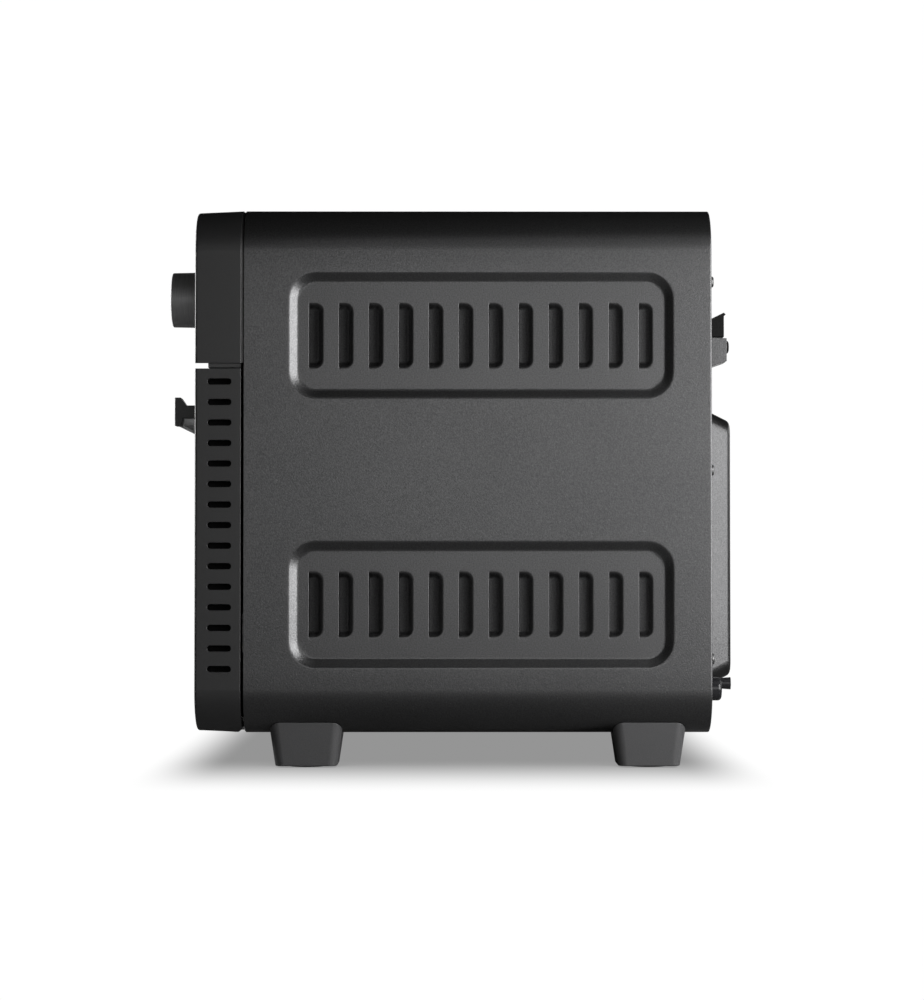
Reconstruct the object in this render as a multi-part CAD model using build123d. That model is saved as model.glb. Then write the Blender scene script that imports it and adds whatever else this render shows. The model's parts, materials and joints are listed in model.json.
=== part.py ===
"""Countertop toaster oven, modelled as an assembly of separate pieces.

Millimetres, +Z up, front of the oven towards -Y. The origin is on the table,
midway across the width and midway between the knob faces and the wall bumpers.
"""

from build123d import *
import os

# ---- Steel body -----------------------------------------------------------
body_width = 420.0
body_depth = 293.0
body_height = 331.0
corner_radius = 28.0
foot_height = 21.5          # table to the underside of the body
sheet = 0.8                 # steel sheet of wrap, liner and cover
base_lap = 10.0             # wrap folded under the base pan
base_sheet = 1.0
rear_sheet = 1.0
rear_flange = 14.0          # inward flange, outside the edge of the rear panel
rear_bend = 2.5             # outside radius of that bend
base_slot_length = 44.0     # air slots in the base pan
base_slot_width = 5.0
base_slot_pitch = 20.0
base_slot_count = 11
base_row_offset = 62.0      # rows of slots from mid-depth
seat_gap = 0.2              # loose fit between pieces that rest on each other

# ---- Pressed side recesses and their louvres ------------------------------
recess_length = 242.0
recess_height = 80.0
recess_radius = 17.5
recess_depth = 3.0
recess_bevel = 6.2
recess_rise = 84.3          # recess centre above and below mid-height
recess_shift = 2.2          # recess centre behind mid-depth
louvre_count = 12
louvre_pitch = 18.8
louvre_width = 9.2
louvre_height = 41.4
louvre_radius = 5.5
louvre_depth = 4.2
louvre_slit = 2.2           # open height of the slit behind the sheet
louvre_draft = 3.2

# ---- Front mouldings ------------------------------------------------------
front_thickness = 28.9      # control panel and door, front to back
front_gap = 1.8             # air between the mouldings and the wrap
front_draft = 1.3           # front outline is smaller than the rear one
moulding_wall = 2.8
front_wall = 5.0
edge_round = 1.6
panel_height = 98.6
panel_door_gap = 3.4
skirt_setback = 8.3         # skirt under the panel, behind the front face
skirt_clearance = 0.7       # skirt to the top of the door
brow_height = 6.5           # front wall ends this far above the panel's side edges
panel_rim_drop = 0.7        # rim that fills the gap to the wrap, below the outline
panel_rim_gap = 0.4
door_slot_count = 15
door_slot_pitch = 12.84
door_slot_height = 3.9
door_slot_length = 15.0
door_slot_setback = 8.0
door_slot_drop = 8.2        # first slot below the top of the door

# ---- Control panel --------------------------------------------------------
knob_diameter = 36.4
knob_reach = 22.0
knob_gap = 1.0
knob_inset = 80.0           # knob centres in from the sides
knob_drop = 51.3            # knob centres below the top of the body
knob_draft = 0.4
knob_wall = 3.0
knob_face = 5.0             # thickness behind the front face
knob_hub = 2.4              # hub wall round the shaft
knob_edge = 0.8
pointer_width = 1.6
pointer_start = 5.0         # groove from the knob centre
pointer_depth = 1.0
shaft_diameter = 6.0
shaft_clearance = 0.05
shaft_setback = 6.0         # shaft end behind the knob face
encoder_size = 14.0
encoder_depth = 8.0
bushing_diameter = 9.0
window_width = 112.0
window_height = 40.0
window_lens = 2.5
window_corner = 4.0
window_ledge = 5.0
window_rise = 12.0          # window centre above the knob centres
button_count = 4
button_width = 22.0
button_height = 9.0
button_pitch = 32.0
button_drop = 27.0          # button centres below the knob centres
button_proud = 1.2
button_corner = 2.0
button_stem = 4.0
button_travel = 0.8
button_clearance = 0.35
button_flange = 2.0
board_setback = 14.0        # face of the moulding to the front of the board
board_thickness = 1.6
board_inset = 60.0          # ends of the control board in from the sides
board_height = 80.0
board_boss_inset = 34.0     # bosses in from the ends of the board
board_boss_margin = 8.0
boss_diameter = 9.0
board_boss_diameter = 7.0
panel_boss_offset = 40.0    # panel screws beyond the knob centres
panel_boss_rise = 16.0      # lower panel screws above the panel's lower edge
panel_boss_drop = 20.0      # upper panel screws below the top of the body
chip_width = 14.0
chip_depth = 3.0
chip_offsets = (-60.0, -30.0, 20.0)
switch_size = 6.0
switch_height = 4.0
cable_gate_width = 120.0    # way for the wires behind the control panel
cable_gate_height = 30.0
cable_gate_rise = 35.0

# ---- Oven cavity ----------------------------------------------------------
cavity_side_space = 45.0    # side of the body to the cavity wall
cavity_floor_space = 24.5   # underside of the body to the cavity floor
cavity_roof_space = 13.9    # cavity roof to the lower edge of the control panel
cavity_corner = 8.0
cavity_rear_gap = 52.0      # rear of the body to the rear wall of the cavity
cavity_flange = 8.0
frame_sheet = 1.2
frame_setback = 0.5         # front frame behind the edge of the wrap
frame_rim = 12.0
gasket_width = 7.0
gasket_lap = 2.0            # gasket outside the edge of the cavity
gasket_clearance = 0.3
rail_first = 42.0           # lowest level above the cavity floor
rail_pitch = 44.0
rail_count = 3
rail_margin = 12.0          # plate beyond the lowest and highest level
rail_front_gap = 6.0
rail_rear_gap = 4.0
rack_clearance = 0.3
rail_reach = 10.0
rail_slot = 7.0
rail_sheet = 1.0
rack_level = 1              # index of the level that holds the rack
rack_wire = 4.0
rack_bar = 2.6
rack_bar_count = 15
rack_side_clearance = 1.0
rack_rear_clearance = 6.0
rack_front_gap = 0.5        # front wire to the magnets on the door
rack_bend = 10.0
heater_diameter = 8.0
heater_floor_height = 16.0  # lower elements above the cavity floor
heater_roof_drop = 12.0     # upper elements below the cavity roof
heater_spread = 110.0
heater_cap_diameter = 14.0
heater_cap_length = 16.0
heater_cap_floor = 3.0      # closed end of a ceramic cap
heater_fit = 0.1
tray_height = 6.0
tray_side_gap = 9.0         # clears the rounded corners of the cavity
tray_sheet = 0.7
tray_corner = 6.0
tray_front_gap = 4.0
tray_rear_gap = 6.0
tray_lip_width = 120.0
tray_lip = 3.0
insulation = 12.0
insulation_inset = 4.0
insulation_setback = 14.0
lamp_inset = 37.0           # lamp and probe in from the cavity walls
lamp_drop = 30.0
lamp_radius = 16.0
lamp_height_out = 10.0      # how far the lens stands into the cavity
lamp_wall = 7.4
lamp_hole = 22.0
socket_diameter = 28.0
socket_length = 26.0
bulb_diameter = 12.0
probe_diameter = 4.0
probe_nut = 10.0
steam_hole = 4.0            # steam holes over the fan
steam_pitch = 8.0
steam_rise = 30.0
steam_rows = 3
steam_columns = 7

# ---- Convection fan -------------------------------------------------------
guard_diameter = 172.0
guard_depth = 18.0
guard_bend = 5.0
guard_slot = 5.0
inner_ring = (18.0, 38.0, 10)   # near end, far end and number of the inner slots
outer_ring = (44.0, 76.0, 20)
blade_diameter = 124.0
blade_depth = 9.0
blade_count = 8
blade_sheet = 1.0
blade_hub = 4.0             # hub wall round the shaft
blade_pitch = 62.0
cooler_pitch = 50.0
cooler_count = 10
cooler_gap = 6.0            # cavity rear wall to the cooling fan
cooler_diameter = 86.0
cooler_depth = 8.0
motor_diameter = 62.0
motor_length = 34.0
motor_standoff = 22.0       # cavity rear wall to the motor bracket
motor_edge = 4.0
motor_band = 2.0            # lamination stack wider than the case
motor_band_start = 8.0
motor_band_length = 12.0
motor_bracket_sheet = 1.5
motor_bracket_width = 24.0
motor_bracket_side = 8.0    # legs outside the cooling fan
motor_bracket_toe = 8.0
motor_room = 34.0           # opening in the rear panel round the motor
fan_side_gap = 3.0

# ---- Rear -----------------------------------------------------------------
rear_reach = 19.5           # rear of the wrap to the tip of the wall bumpers
cover_inset = 45.0          # sides of the cover in from the sides of the body
cover_height = 180.0
cover_rise = 27.0           # cover above the underside of the body
cover_depth = 17.2
cover_slope = 8.1
cover_radius = 10.0
cover_flange = 12.0         # rim at the sides
cover_rim = 4.0             # rim above and below
cover_edge = 4.0
cover_slot_length = 150.0
cover_slot_height = 3.4
cover_slot_pitch = 10.0
cover_slot_count = 10
rear_slot_length = 84.0     # air slots high in the rear panel
rear_slot_height = 3.2
rear_slot_pitch = 7.0
rear_slot_count = 9
rear_slot_offset = 62.0
rear_slot_drop = 30.0
power_board_width = 196.0
power_board_height = 100.0
power_board_drop = 12.0     # upper edge below the top of the body
power_board_standoff = 8.0
stud_diameter = 6.0
stud_inset = 8.0            # studs in from the edges of the power board
relay_offsets = (-80.0, -50.0, -20.0)
relay_width = 19.0
relay_height = 16.0
relay_rise = 10.0
coil_size = 24.0
coil_x = 10.0
coil_rise = 44.0
capacitor_diameter = 18.0
capacitor_x = 50.0
capacitor_rise = 60.0
capacitor_height = 24.0
spacer_inset = 85.0         # wall spacers in from the sides
bumper_drop = 81.6          # bumper centres below the top of the body
spacer_width = 26.0
spacer_reach = 17.0
spacer_top = 5.8            # spacer above and below the centre of its bumper
spacer_drop = 16.2
spacer_step = 6.1
spacer_taper = 1.0
bumper_diameter = 9.0
hook_height = 15.9
hook_reach = 16.7
hook_slope = 8.0
hook_wall = 3.0
hook_waist = 1.2            # neck of the hook ahead of its tip
hook_tip = 2.4
gland_diameter = 14.8
gland_flange = 8.0
gland_inset = 26.0
gland_rise = 27.5           # gland above the underside of the body
gland_reach = 13.8
gland_step = 1.0            # collar wider than the neck
gland_nut = 6.0
terminal_width = 34.0
terminal_depth = 16.0
terminal_height = 20.0
terminal_drop = 12.5        # terminal block below the lower cover screws
terminal_well = 6.0
terminal_pitch = 10.5
cord_bore = 5.2
boot_wall = 0.7             # at the narrow end of the boot
boot_flare = 0.6
screw_head = 7.0
screw_proud = 1.9
screw_shank = 3.5
screw_clearance = 0.2
screw_length = 8.0
screw_cross = 4.4
screw_cross_width = 0.8
screw_cross_depth = 0.9
screw_inset = 8.0           # rear screws in from the side faces
screw_end_inset = 47.0      # upper and lower rear screws in from top and bottom

# ---- Feet -----------------------------------------------------------------
foot_top = 45.0
foot_base = 39.0
foot_corner = 7.0
foot_climb = 9.0            # how far a foot follows the rounded edge up
foot_side_inset = 10.0      # outer face of a foot in from the side of the body
foot_end_inset = 38.5       # foot centre in from the front and rear edges
pad_diameter = 26.0
pad_thickness = 2.4
pad_proud = 1.0
foot_screw = 4.0
foot_screw_length = 11.0
foot_screw_head = 2.6

# ---- Door -----------------------------------------------------------------
hinge_round = 5.0           # rear lower edge, centred on the hinge axis
pin_diameter = 4.0
pin_clearance = 0.05
hinge_inset = 38.5          # hinge bracket centre in from the side
hinge_lug = 4.0             # radius of the lug round the pin
hinge_foot_width = 28.0
hinge_foot_rise = 9.0
hinge_foot_sheet = 1.2
barrel_half = 12.0
pin_half = 10.5
hinge_plate = 5.0
hinge_side_gap = 0.5
glass_thickness = 3.2
glass_side_inset = 39.0     # sides of the outer glass in from the sides of the door
outer_glass_height = 140.0
glass_rise = 42.5           # outer glass above the lower edge of the door
glass_corner = 10.0
glass_ledge = 7.0
glass_gap = 0.3
inner_sheet = 1.0
inner_fold_inset = 12.0     # folded sides of the inner panel, in from the door sides
inner_window_inset = 23.0   # inner opening within the outer glass, at the sides
inner_window_drop = 6.0     # and above and below
inner_glass_lap = 7.0
inner_corner = 8.0
arm_inset = 24.0            # door arms in from the sides
arm_radius = 60.0
arm_band = 6.0
arm_sheet = 2.0
arm_tab = 12.0
arm_tab_sheet = 1.3
arm_tab_drop = 14.0
arm_tab_rise = 10.0
arm_slot = 5.0
arm_slot_below = 5.0
arm_slot_above = 3.0
door_boss_inset = 22.0      # door screws in from the sides
door_boss_rise = 26.0       # lower door screws above the arms
door_boss_drop = 18.0       # upper door screws below the top of the door
door_boss_diameter = 8.0
door_screw_head = 1.2
spring_diameter = 7.0
spring_length = 62.0
spring_gap = 4.0            # front of the spring behind the arm
spring_rise = 2.0
anchor_length = 10.0
anchor_lap = 2.0
spring_wire = 1.4
spring_pitch = 3.1
handle_inset = 80.0         # ends of the handle in from the sides
handle_height = 18.6
handle_bar_height = 13.6
handle_plate = 3.2
handle_tongue = 4.0         # bar end inside its end cap
handle_reach = 21.0
handle_drop = 22.5          # handle centre below the top of the door
handle_lip = 2.4
handle_lip_height = 2.0
handle_edge = 1.0
handle_screw_reach = 11.0   # screw into the bracket ahead of the door face
bracket_height = 8.2
bracket_width = 12.0
bracket_gusset = 3.2
magnet_diameter = 12.0
magnet_inset = 92.0         # magnets in from the sides
magnet_edge = 0.6

# ---- Places worked out from the sizes above -------------------------------
front_tip = -(knob_reach + front_thickness + front_gap + body_depth + rear_reach) / 2
face_y = front_tip + knob_reach
moulding_rear = face_y + front_thickness
wrap_front = moulding_rear + front_gap
wrap_rear = wrap_front + body_depth
panel_rear = wrap_rear - sheet          # outer face of the rear panel
panel_front = panel_rear - rear_sheet
mid_y = (wrap_front + wrap_rear) / 2
half_width = body_width / 2
body_top = foot_height + body_height
mid_z = foot_height + body_height / 2
panel_bottom = body_top - panel_height
door_top = panel_bottom - panel_door_gap
frame_front = wrap_front + frame_setback
frame_rear = frame_front + frame_sheet
cavity_rear = wrap_rear - cavity_rear_gap
cavity_floor = foot_height + cavity_floor_space
cavity_roof = panel_bottom - cavity_roof_space
cavity_height = cavity_roof - cavity_floor
cavity_mid = (cavity_floor + cavity_roof) / 2
half_cavity = half_width - cavity_side_space
cavity_width = 2 * half_cavity
hinge_y = moulding_rear - hinge_round
hinge_z = foot_height + hinge_round
guard_front = cavity_rear - guard_depth
knob_x = half_width - knob_inset
knob_xs = (-knob_x, knob_x)
knob_height = body_top - knob_drop
window_z = knob_height + window_rise
button_z = knob_height - button_drop
button_xs = [button_pitch * (i - (button_count - 1) / 2) for i in range(button_count)]
board_front = face_y + board_setback
board_width = body_width - 2 * board_inset
board_rear = board_front + board_thickness
button_seat = face_y + front_wall        # inner face of the control panel
rail_levels = [cavity_floor + rail_first + rail_pitch * i for i in range(rail_count)]
rack_z = rail_levels[rack_level] + rack_wire / 2 + rack_clearance
magnet_tip = frame_rear + rack_front_gap
rack_front = magnet_tip + rack_front_gap
rack_rear = guard_front - rack_rear_clearance
hole_radius = screw_shank / 2 + screw_clearance
lamp_height = cavity_roof - lamp_drop
lamp_x = half_cavity - lamp_inset
lower_heater_z = cavity_floor + heater_floor_height
upper_heater_z = cavity_roof - heater_roof_drop
heater_mid_y = (frame_rear + guard_front) / 2
heater_ys = (heater_mid_y - heater_spread / 2, heater_mid_y + heater_spread / 2)
foot_xs = (-(half_width - foot_side_inset - foot_top / 2), half_width - foot_side_inset - foot_top / 2)
foot_ys = (wrap_front + foot_end_inset, wrap_rear - foot_end_inset)
rear_screw_x = half_width - screw_inset
screw_rise = body_height / 2 - screw_end_inset
rear_screws_at = [(side * rear_screw_x, mid_z + rise) for side in (-1, 1)
                  for rise in (-screw_rise, 0, screw_rise)]
cover_width = body_width - 2 * cover_inset
cover_mid = foot_height + cover_rise + cover_height / 2
cover_screws_at = [(side * (cover_width + cover_flange) / 2, cover_mid + rise)
                   for side in (-1, 1) for rise in (-cover_height / 4, cover_height / 4)]
spacer_xs = (-(half_width - spacer_inset), half_width - spacer_inset)
spacer_height = body_top - bumper_drop
gland_x = half_width - gland_inset
gland_height = foot_height + gland_rise
power_top = body_top - power_board_drop
power_low = power_top - power_board_height
panel_boss_xs = (-knob_x - panel_boss_offset, knob_x + panel_boss_offset)
panel_boss_zs = (panel_bottom + panel_boss_rise, body_top - panel_boss_drop)
door_boss_x = half_width - door_boss_inset
door_boss_xs = (-door_boss_x, door_boss_x)
door_boss_zs = (hinge_z + arm_radius + door_boss_rise, door_top - door_boss_drop)
hinge_offset = half_width - hinge_inset
arm_offset = half_width - arm_inset
handle_length = body_width - 2 * handle_inset
handle_rise = door_top - handle_drop
bracket_x = (handle_length - bracket_width) / 2
handle_front = face_y - handle_reach
handle_low = handle_rise - handle_height / 2
bracket_xs = (-bracket_x, bracket_x)
magnet_xs = (-(half_width - magnet_inset), half_width - magnet_inset)
outer_glass_width = body_width - 2 * glass_side_inset
inner_window_width = outer_glass_width - 2 * inner_window_inset
inner_window_height = outer_glass_height - 2 * inner_window_drop
glass_z = foot_height + glass_rise + outer_glass_height / 2
inner_face = moulding_rear - inner_sheet
board_boss_x = board_width / 2 - board_boss_inset
board_boss_xs = (-board_boss_x, board_boss_x)
board_boss_rise = board_height / 2 - board_boss_margin
board_boss_zs = (knob_height - board_boss_rise, knob_height + board_boss_rise)


# ---- Helpers --------------------------------------------------------------
def block(x0, x1, y0, y1, z0, z1):
    """A box between two corners."""
    centre = Pos((x0 + x1) / 2, (y0 + y1) / 2, (z0 + z1) / 2)
    return centre * Box(abs(x1 - x0), abs(y1 - y0), abs(z1 - z0))


def rounded(x, z, width, height, radius):
    """A flat rounded rectangle about a centre."""
    return Pos(x, z) * RectangleRounded(width, height, radius)


def across_y(sketch, y0, y1):
    """Extrude an (x, z) sketch from y0 to y1."""
    plane = Plane(origin=(0, y1, 0), x_dir=(1, 0, 0), z_dir=(0, -1, 0))
    return extrude(plane * sketch, amount=y1 - y0)


def across_x(sketch, x0, x1):
    """Extrude a (y, z) sketch from x0 to x1."""
    plane = Plane(origin=(x0, 0, 0), x_dir=(0, 1, 0), z_dir=(1, 0, 0))
    return extrude(plane * sketch, amount=x1 - x0)


def rod_x(y, z, radius, x0, x1):
    return across_x(Pos(y, z) * Circle(radius), x0, x1)


def rod_y(x, z, radius, y0, y1):
    return across_y(Pos(x, z) * Circle(radius), y0, y1)


def rod_z(x, y, radius, z0, z1):
    return Pos(x, y, (z0 + z1) / 2) * Cylinder(radius, z1 - z0)


def body_outline(inset):
    """Outline of the body seen from the front, moved inwards by inset."""
    return rounded(0, mid_z, body_width - 2 * inset, body_height - 2 * inset, corner_radius - inset)


def mirrored(shape):
    return mirror(shape, about=Plane.YZ)


def joined(shapes):
    """One shape from many that touch or overlap."""
    shapes = list(shapes)
    return shapes[0].fuse(*shapes[1:]) if len(shapes) > 1 else shapes[0]


def group(shapes):
    """Separate solids that share one node."""
    return Compound(children=[solid for shape in shapes for solid in shape.solids()])


# ---- Steel body -----------------------------------------------------------
def recess_form(clearance, depth):
    """Tapered form of a side recess, on the right side of the body."""
    plane = Plane(origin=(half_width, mid_y + recess_shift, 0), x_dir=(0, 1, 0), z_dir=(1, 0, 0))
    slope = recess_bevel / recess_depth
    outer = RectangleRounded(recess_length + 2 * clearance, recess_height + 2 * clearance,
                             recess_radius + clearance)
    shrink = slope * depth
    inner = RectangleRounded(recess_length + 2 * clearance - 2 * shrink,
                             recess_height + 2 * clearance - 2 * shrink,
                             recess_radius + clearance - shrink)
    return loft([plane * outer, plane.offset(-depth) * inner])


def louvre_outline(margin):
    """D-shaped outline: straight at the slit (front), rounded at the rear."""
    width = louvre_width + margin
    height = louvre_height + 2 * margin
    radius = louvre_radius + margin
    full = RectangleRounded(2 * width, height, radius)
    return full & (Pos(width / 2, 0) * Rectangle(width, height))


def louvre_pocket(margin, depth, draft):
    """Pressed hollow under one louvre; x is depth into the body."""
    plane = Plane(origin=(0, 0, 0), x_dir=(0, 1, 0), z_dir=(1, 0, 0))
    narrow = louvre_outline(margin - draft)
    return loft([plane * louvre_outline(margin), plane.offset(-depth) * narrow])


def louvre_places():
    """Centre of the slit of every louvre on the right side."""
    floor = half_width - recess_depth
    first = mid_y + recess_shift - louvre_pitch * (louvre_count - 1) / 2 - louvre_width / 2
    return [Pos(floor, first + louvre_pitch * i, mid_z + rise)
            for rise in (-recess_rise, recess_rise) for i in range(louvre_count)]


def outer_wrap():
    outside = across_y(body_outline(0), wrap_front, wrap_rear)
    outside = fillet(outside.edges().group_by(Axis.Y)[-1], rear_bend)
    inside = across_y(body_outline(sheet), wrap_front - 1, wrap_rear - sheet)
    inside = fillet(inside.edges().group_by(Axis.Y)[-1], rear_bend - sheet)
    tube = outside - inside - across_y(body_outline(rear_flange), panel_front, wrap_rear + 1)
    flat = half_width - corner_radius - base_lap
    tube -= block(-flat, flat, wrap_front, wrap_rear - rear_bend, foot_height - 1, foot_height + sheet + 1)
    bumps = []
    pockets = []
    for rise in (-recess_rise, recess_rise):
        bumps.append(Pos(-sheet, 0, mid_z + rise) * recess_form(sheet / 2, recess_depth))
        pockets.append(Pos(0, 0, mid_z + rise) * recess_form(0, recess_depth))
    scoop = louvre_pocket(sheet, louvre_depth, louvre_draft)
    scoop &= block(-louvre_depth, -sheet / 2, 0, louvre_width + sheet, -louvre_height, louvre_height)
    hollow = louvre_pocket(0, louvre_depth - sheet, louvre_draft)
    slit_half = louvre_height / 2 - louvre_radius
    slit = block(-louvre_slit - sheet, -sheet, -1, 1, -slit_half, slit_half)
    right = joined([tube] + bumps) - pockets
    right = right.fuse(*[place * scoop for place in louvre_places()])
    right = right.cut(*[place * hollow for place in louvre_places()])
    right = right.cut(*[place * slit for place in louvre_places()])
    half = right & block(0, half_width, wrap_front, wrap_rear, foot_height, body_top)
    wrap = half + mirrored(half)
    holes = [rod_y(x, z, hole_radius, panel_front, wrap_rear + 1) for x, z in rear_screws_at]
    holes += [rod_z(x, y, foot_screw / 2 + screw_clearance, foot_height - 1, foot_height + 2)
              for x in foot_xs for y in foot_ys]
    return wrap.cut(*holes)


def base_pan():
    floor = foot_height + sheet
    half = half_width - corner_radius
    pan = block(-half, half, frame_rear + seat_gap, wrap_rear - rear_bend - seat_gap, floor,
                floor + base_sheet)
    slot = RectangleRounded(base_slot_width, base_slot_length, base_slot_width * 0.48)
    slots = []
    for row in (-1, 1):
        for i in range(base_slot_count):
            x = base_slot_pitch * (i - (base_slot_count - 1) / 2)
            sketch = Pos(x, mid_y + row * base_row_offset) * slot
            slots.append(Pos(0, 0, floor - 1) * extrude(sketch, amount=3))
    holes = [rod_z(x, y, foot_screw / 2 + screw_clearance, floor - 1, floor + 3)
             for x in foot_xs for y in foot_ys]
    return pan.cut(*slots, *holes)


def front_frame():
    opening = rounded(0, cavity_mid, cavity_width, cavity_height, cavity_corner)
    plate = across_y(body_outline(sheet + seat_gap) - opening, frame_front, frame_rear)
    rim = body_outline(sheet + seat_gap) - body_outline(sheet + seat_gap + frame_sheet)
    frame = plate + across_y(rim, frame_rear, frame_rear + frame_rim)
    flat = half_width - corner_radius + seat_gap
    cuts = [block(-flat, flat, frame_rear, frame_rear + frame_rim + 1, foot_height, foot_height + 4)]
    for side in (-1, 1):
        x = side * arm_offset
        cuts.append(block(x - arm_slot / 2, x + arm_slot / 2, frame_front - 1, frame_rear + 1,
                          hinge_z + arm_radius - arm_band - arm_slot_below,
                          hinge_z + arm_radius + arm_slot_above))
    for x in panel_boss_xs:
        for z in panel_boss_zs:
            cuts.append(rod_y(x, z, hole_radius, frame_front - 1, frame_rear + 1))
    gate = panel_bottom + cable_gate_rise
    cuts.append(block(-cable_gate_width / 2, cable_gate_width / 2, frame_front - 1, frame_rear + 1,
                      gate - cable_gate_height / 2, gate + cable_gate_height / 2))
    return frame.cut(*cuts)


def rear_panel():
    panel = across_y(body_outline(rear_bend), panel_front, panel_rear)
    opening = motor_diameter + 2 * motor_room
    cuts = [across_y(rounded(0, cavity_mid, opening, opening, cover_edge), panel_front - 1, panel_rear + 1)]
    for x, z in rear_screws_at + cover_screws_at:
        cuts.append(rod_y(x, z, hole_radius, panel_front - 1, panel_rear + 1))
    for side in (-1, 1):
        for row in range(rear_slot_count):
            slot = rounded(side * rear_slot_offset, body_top - rear_slot_drop - rear_slot_pitch * row,
                           rear_slot_length, rear_slot_height, rear_slot_height * 0.48)
            cuts.append(across_y(slot, panel_front - 1, panel_rear + 1))
    neck = gland_diameter / 2 - gland_step + seat_gap
    cuts.append(rod_y(gland_x, gland_height, neck, panel_front - 1, panel_rear + 1))
    stud_x = power_board_width / 2 - stud_inset
    studs = [rod_y(x, z, stud_diameter / 2, panel_front - power_board_standoff, panel_front)
             for x in (-stud_x, stud_x) for z in (power_low + stud_inset, power_top - stud_inset)]
    return panel.cut(*cuts).fuse(*studs)


def motor_cover():
    """Drawn cover over the fan motor, with a flat rim."""
    slope = cover_slope

    def form(inset, depth):
        base_plane = Plane(origin=(0, panel_rear, 0), x_dir=(1, 0, 0), z_dir=(0, -1, 0))
        base = rounded(0, cover_mid, cover_width - 2 * inset, cover_height - 2 * inset, cover_radius - inset)
        shrink = inset + slope
        end = rounded(0, cover_mid, cover_width - 2 * shrink, cover_height - 2 * shrink,
                      cover_radius - inset / 2)
        solid = loft([base_plane * base, base_plane.offset(-depth) * end])
        rear_edges = solid.edges().group_by(Axis.Y)[-1]
        return fillet(rear_edges, cover_edge - inset)

    rim = rounded(0, cover_mid, cover_width + 2 * cover_flange, cover_height + 2 * cover_rim,
                  cover_radius + cover_rim)
    flat = across_y(rim, panel_rear, panel_rear + sheet)
    cover = flat + form(0, cover_depth + sheet) - form(sheet, cover_depth)
    holes = [rod_y(x, z, hole_radius, panel_rear - 1, panel_rear + 2) for x, z in cover_screws_at]
    slots = []
    for row in range(cover_slot_count):
        z = cover_mid + cover_slot_pitch * (row - (cover_slot_count - 1) / 2)
        slot = rounded(0, z, cover_slot_length, cover_slot_height, cover_slot_height * 0.48)
        slots.append(across_y(slot, wrap_rear + cover_depth - 3, wrap_rear + cover_depth + 1))
    return cover.cut(*holes, *slots)


def wall_spacer():
    """Folded steel bracket of one wall spacer, about x = 0."""
    half = spacer_width / 2
    top = spacer_height + spacer_top
    low = spacer_height - spacer_drop
    out = wrap_rear + spacer_reach
    cheek = Polyline((panel_rear, top), (out, top - spacer_taper), (out, low + spacer_step),
                     (panel_rear, low), close=True)
    solid = across_x(make_face(cheek), -half, half)
    inner = Polyline((panel_rear - 1, top - sheet), (out - sheet, top - spacer_taper - sheet),
                     (out - sheet, low + spacer_step + sheet / 2), (panel_rear - 1, low + sheet), close=True)
    return solid - across_x(make_face(inner), -half + sheet, half - sheet)


def spacer_hook():
    """Cord hook above one wall spacer, about x = 0."""
    half = spacer_width / 2 - hook_wall
    low = spacer_height + spacer_top + seat_gap
    top = low + hook_height
    out = wrap_rear + hook_reach
    neck = out - hook_waist
    outline = Polyline((panel_rear, low), (neck, low), (neck, top - hook_tip),
                       (out, top - hook_tip / 2), (out - hook_tip / 2, top), (panel_rear, top - hook_slope),
                       close=True)
    hook = across_x(make_face(outline), -half, half)
    pocket = Polyline((panel_rear + hook_wall, low + hook_wall), (neck - hook_wall, low + hook_wall),
                      (neck - hook_wall, top - hook_tip - hook_wall),
                      (panel_rear + hook_wall, top - hook_slope - hook_wall), close=True)
    return hook - across_x(make_face(pocket), -half - 1, half - hook_wall)


def bumper():
    """Rubber bumper on one wall spacer, about x = 0."""
    start = wrap_rear + spacer_reach
    tip = wrap_rear + rear_reach
    dome = rod_y(0, spacer_height, bumper_diameter / 2, start, tip)
    edges = dome.edges().group_by(Axis.Y)[-1]
    return fillet(edges, 0.8 * (tip - start))


def cord_gland():
    radius = gland_diameter / 2
    neck = rod_y(gland_x, gland_height, radius - gland_step, panel_front - gland_nut, panel_rear)
    collar = rod_y(gland_x, gland_height, radius, panel_rear, wrap_rear + gland_flange)
    collar = fillet(collar.edges().group_by(Axis.Y)[-1], gland_flange * 0.3)
    boot_radius = cord_bore / 2 + boot_wall
    boot_z = gland_height + radius - boot_radius - boot_flare
    start = wrap_rear + gland_flange - 2
    tip = wrap_rear + gland_reach
    plane = Plane(origin=(gland_x, start, boot_z), x_dir=(1, 0, 0), z_dir=(0, 1, 0))
    boot = loft([plane * Circle(boot_radius), plane.offset(tip - start) * Circle(boot_radius + boot_flare)])
    nut = rod_y(gland_x, gland_height, radius + gland_step, panel_front - gland_nut, panel_front)
    bore = rod_y(gland_x, boot_z, cord_bore / 2, panel_front - gland_nut - 1, tip + 1)
    return joined([neck, collar, boot, nut]) - bore


def terminal_block():
    x = gland_x
    z = cover_screws_at[0][1] - terminal_drop
    front = panel_front - terminal_depth
    base = block(x - terminal_width / 2, x + terminal_width / 2, front, panel_front,
                 z - terminal_height / 2, z + terminal_height / 2)
    wells = [rod_y(x + terminal_pitch * i, z, terminal_well / 2, front - 1, front + terminal_depth / 2)
             for i in (-1, 0, 1)]
    return base.cut(*wells)


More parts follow.
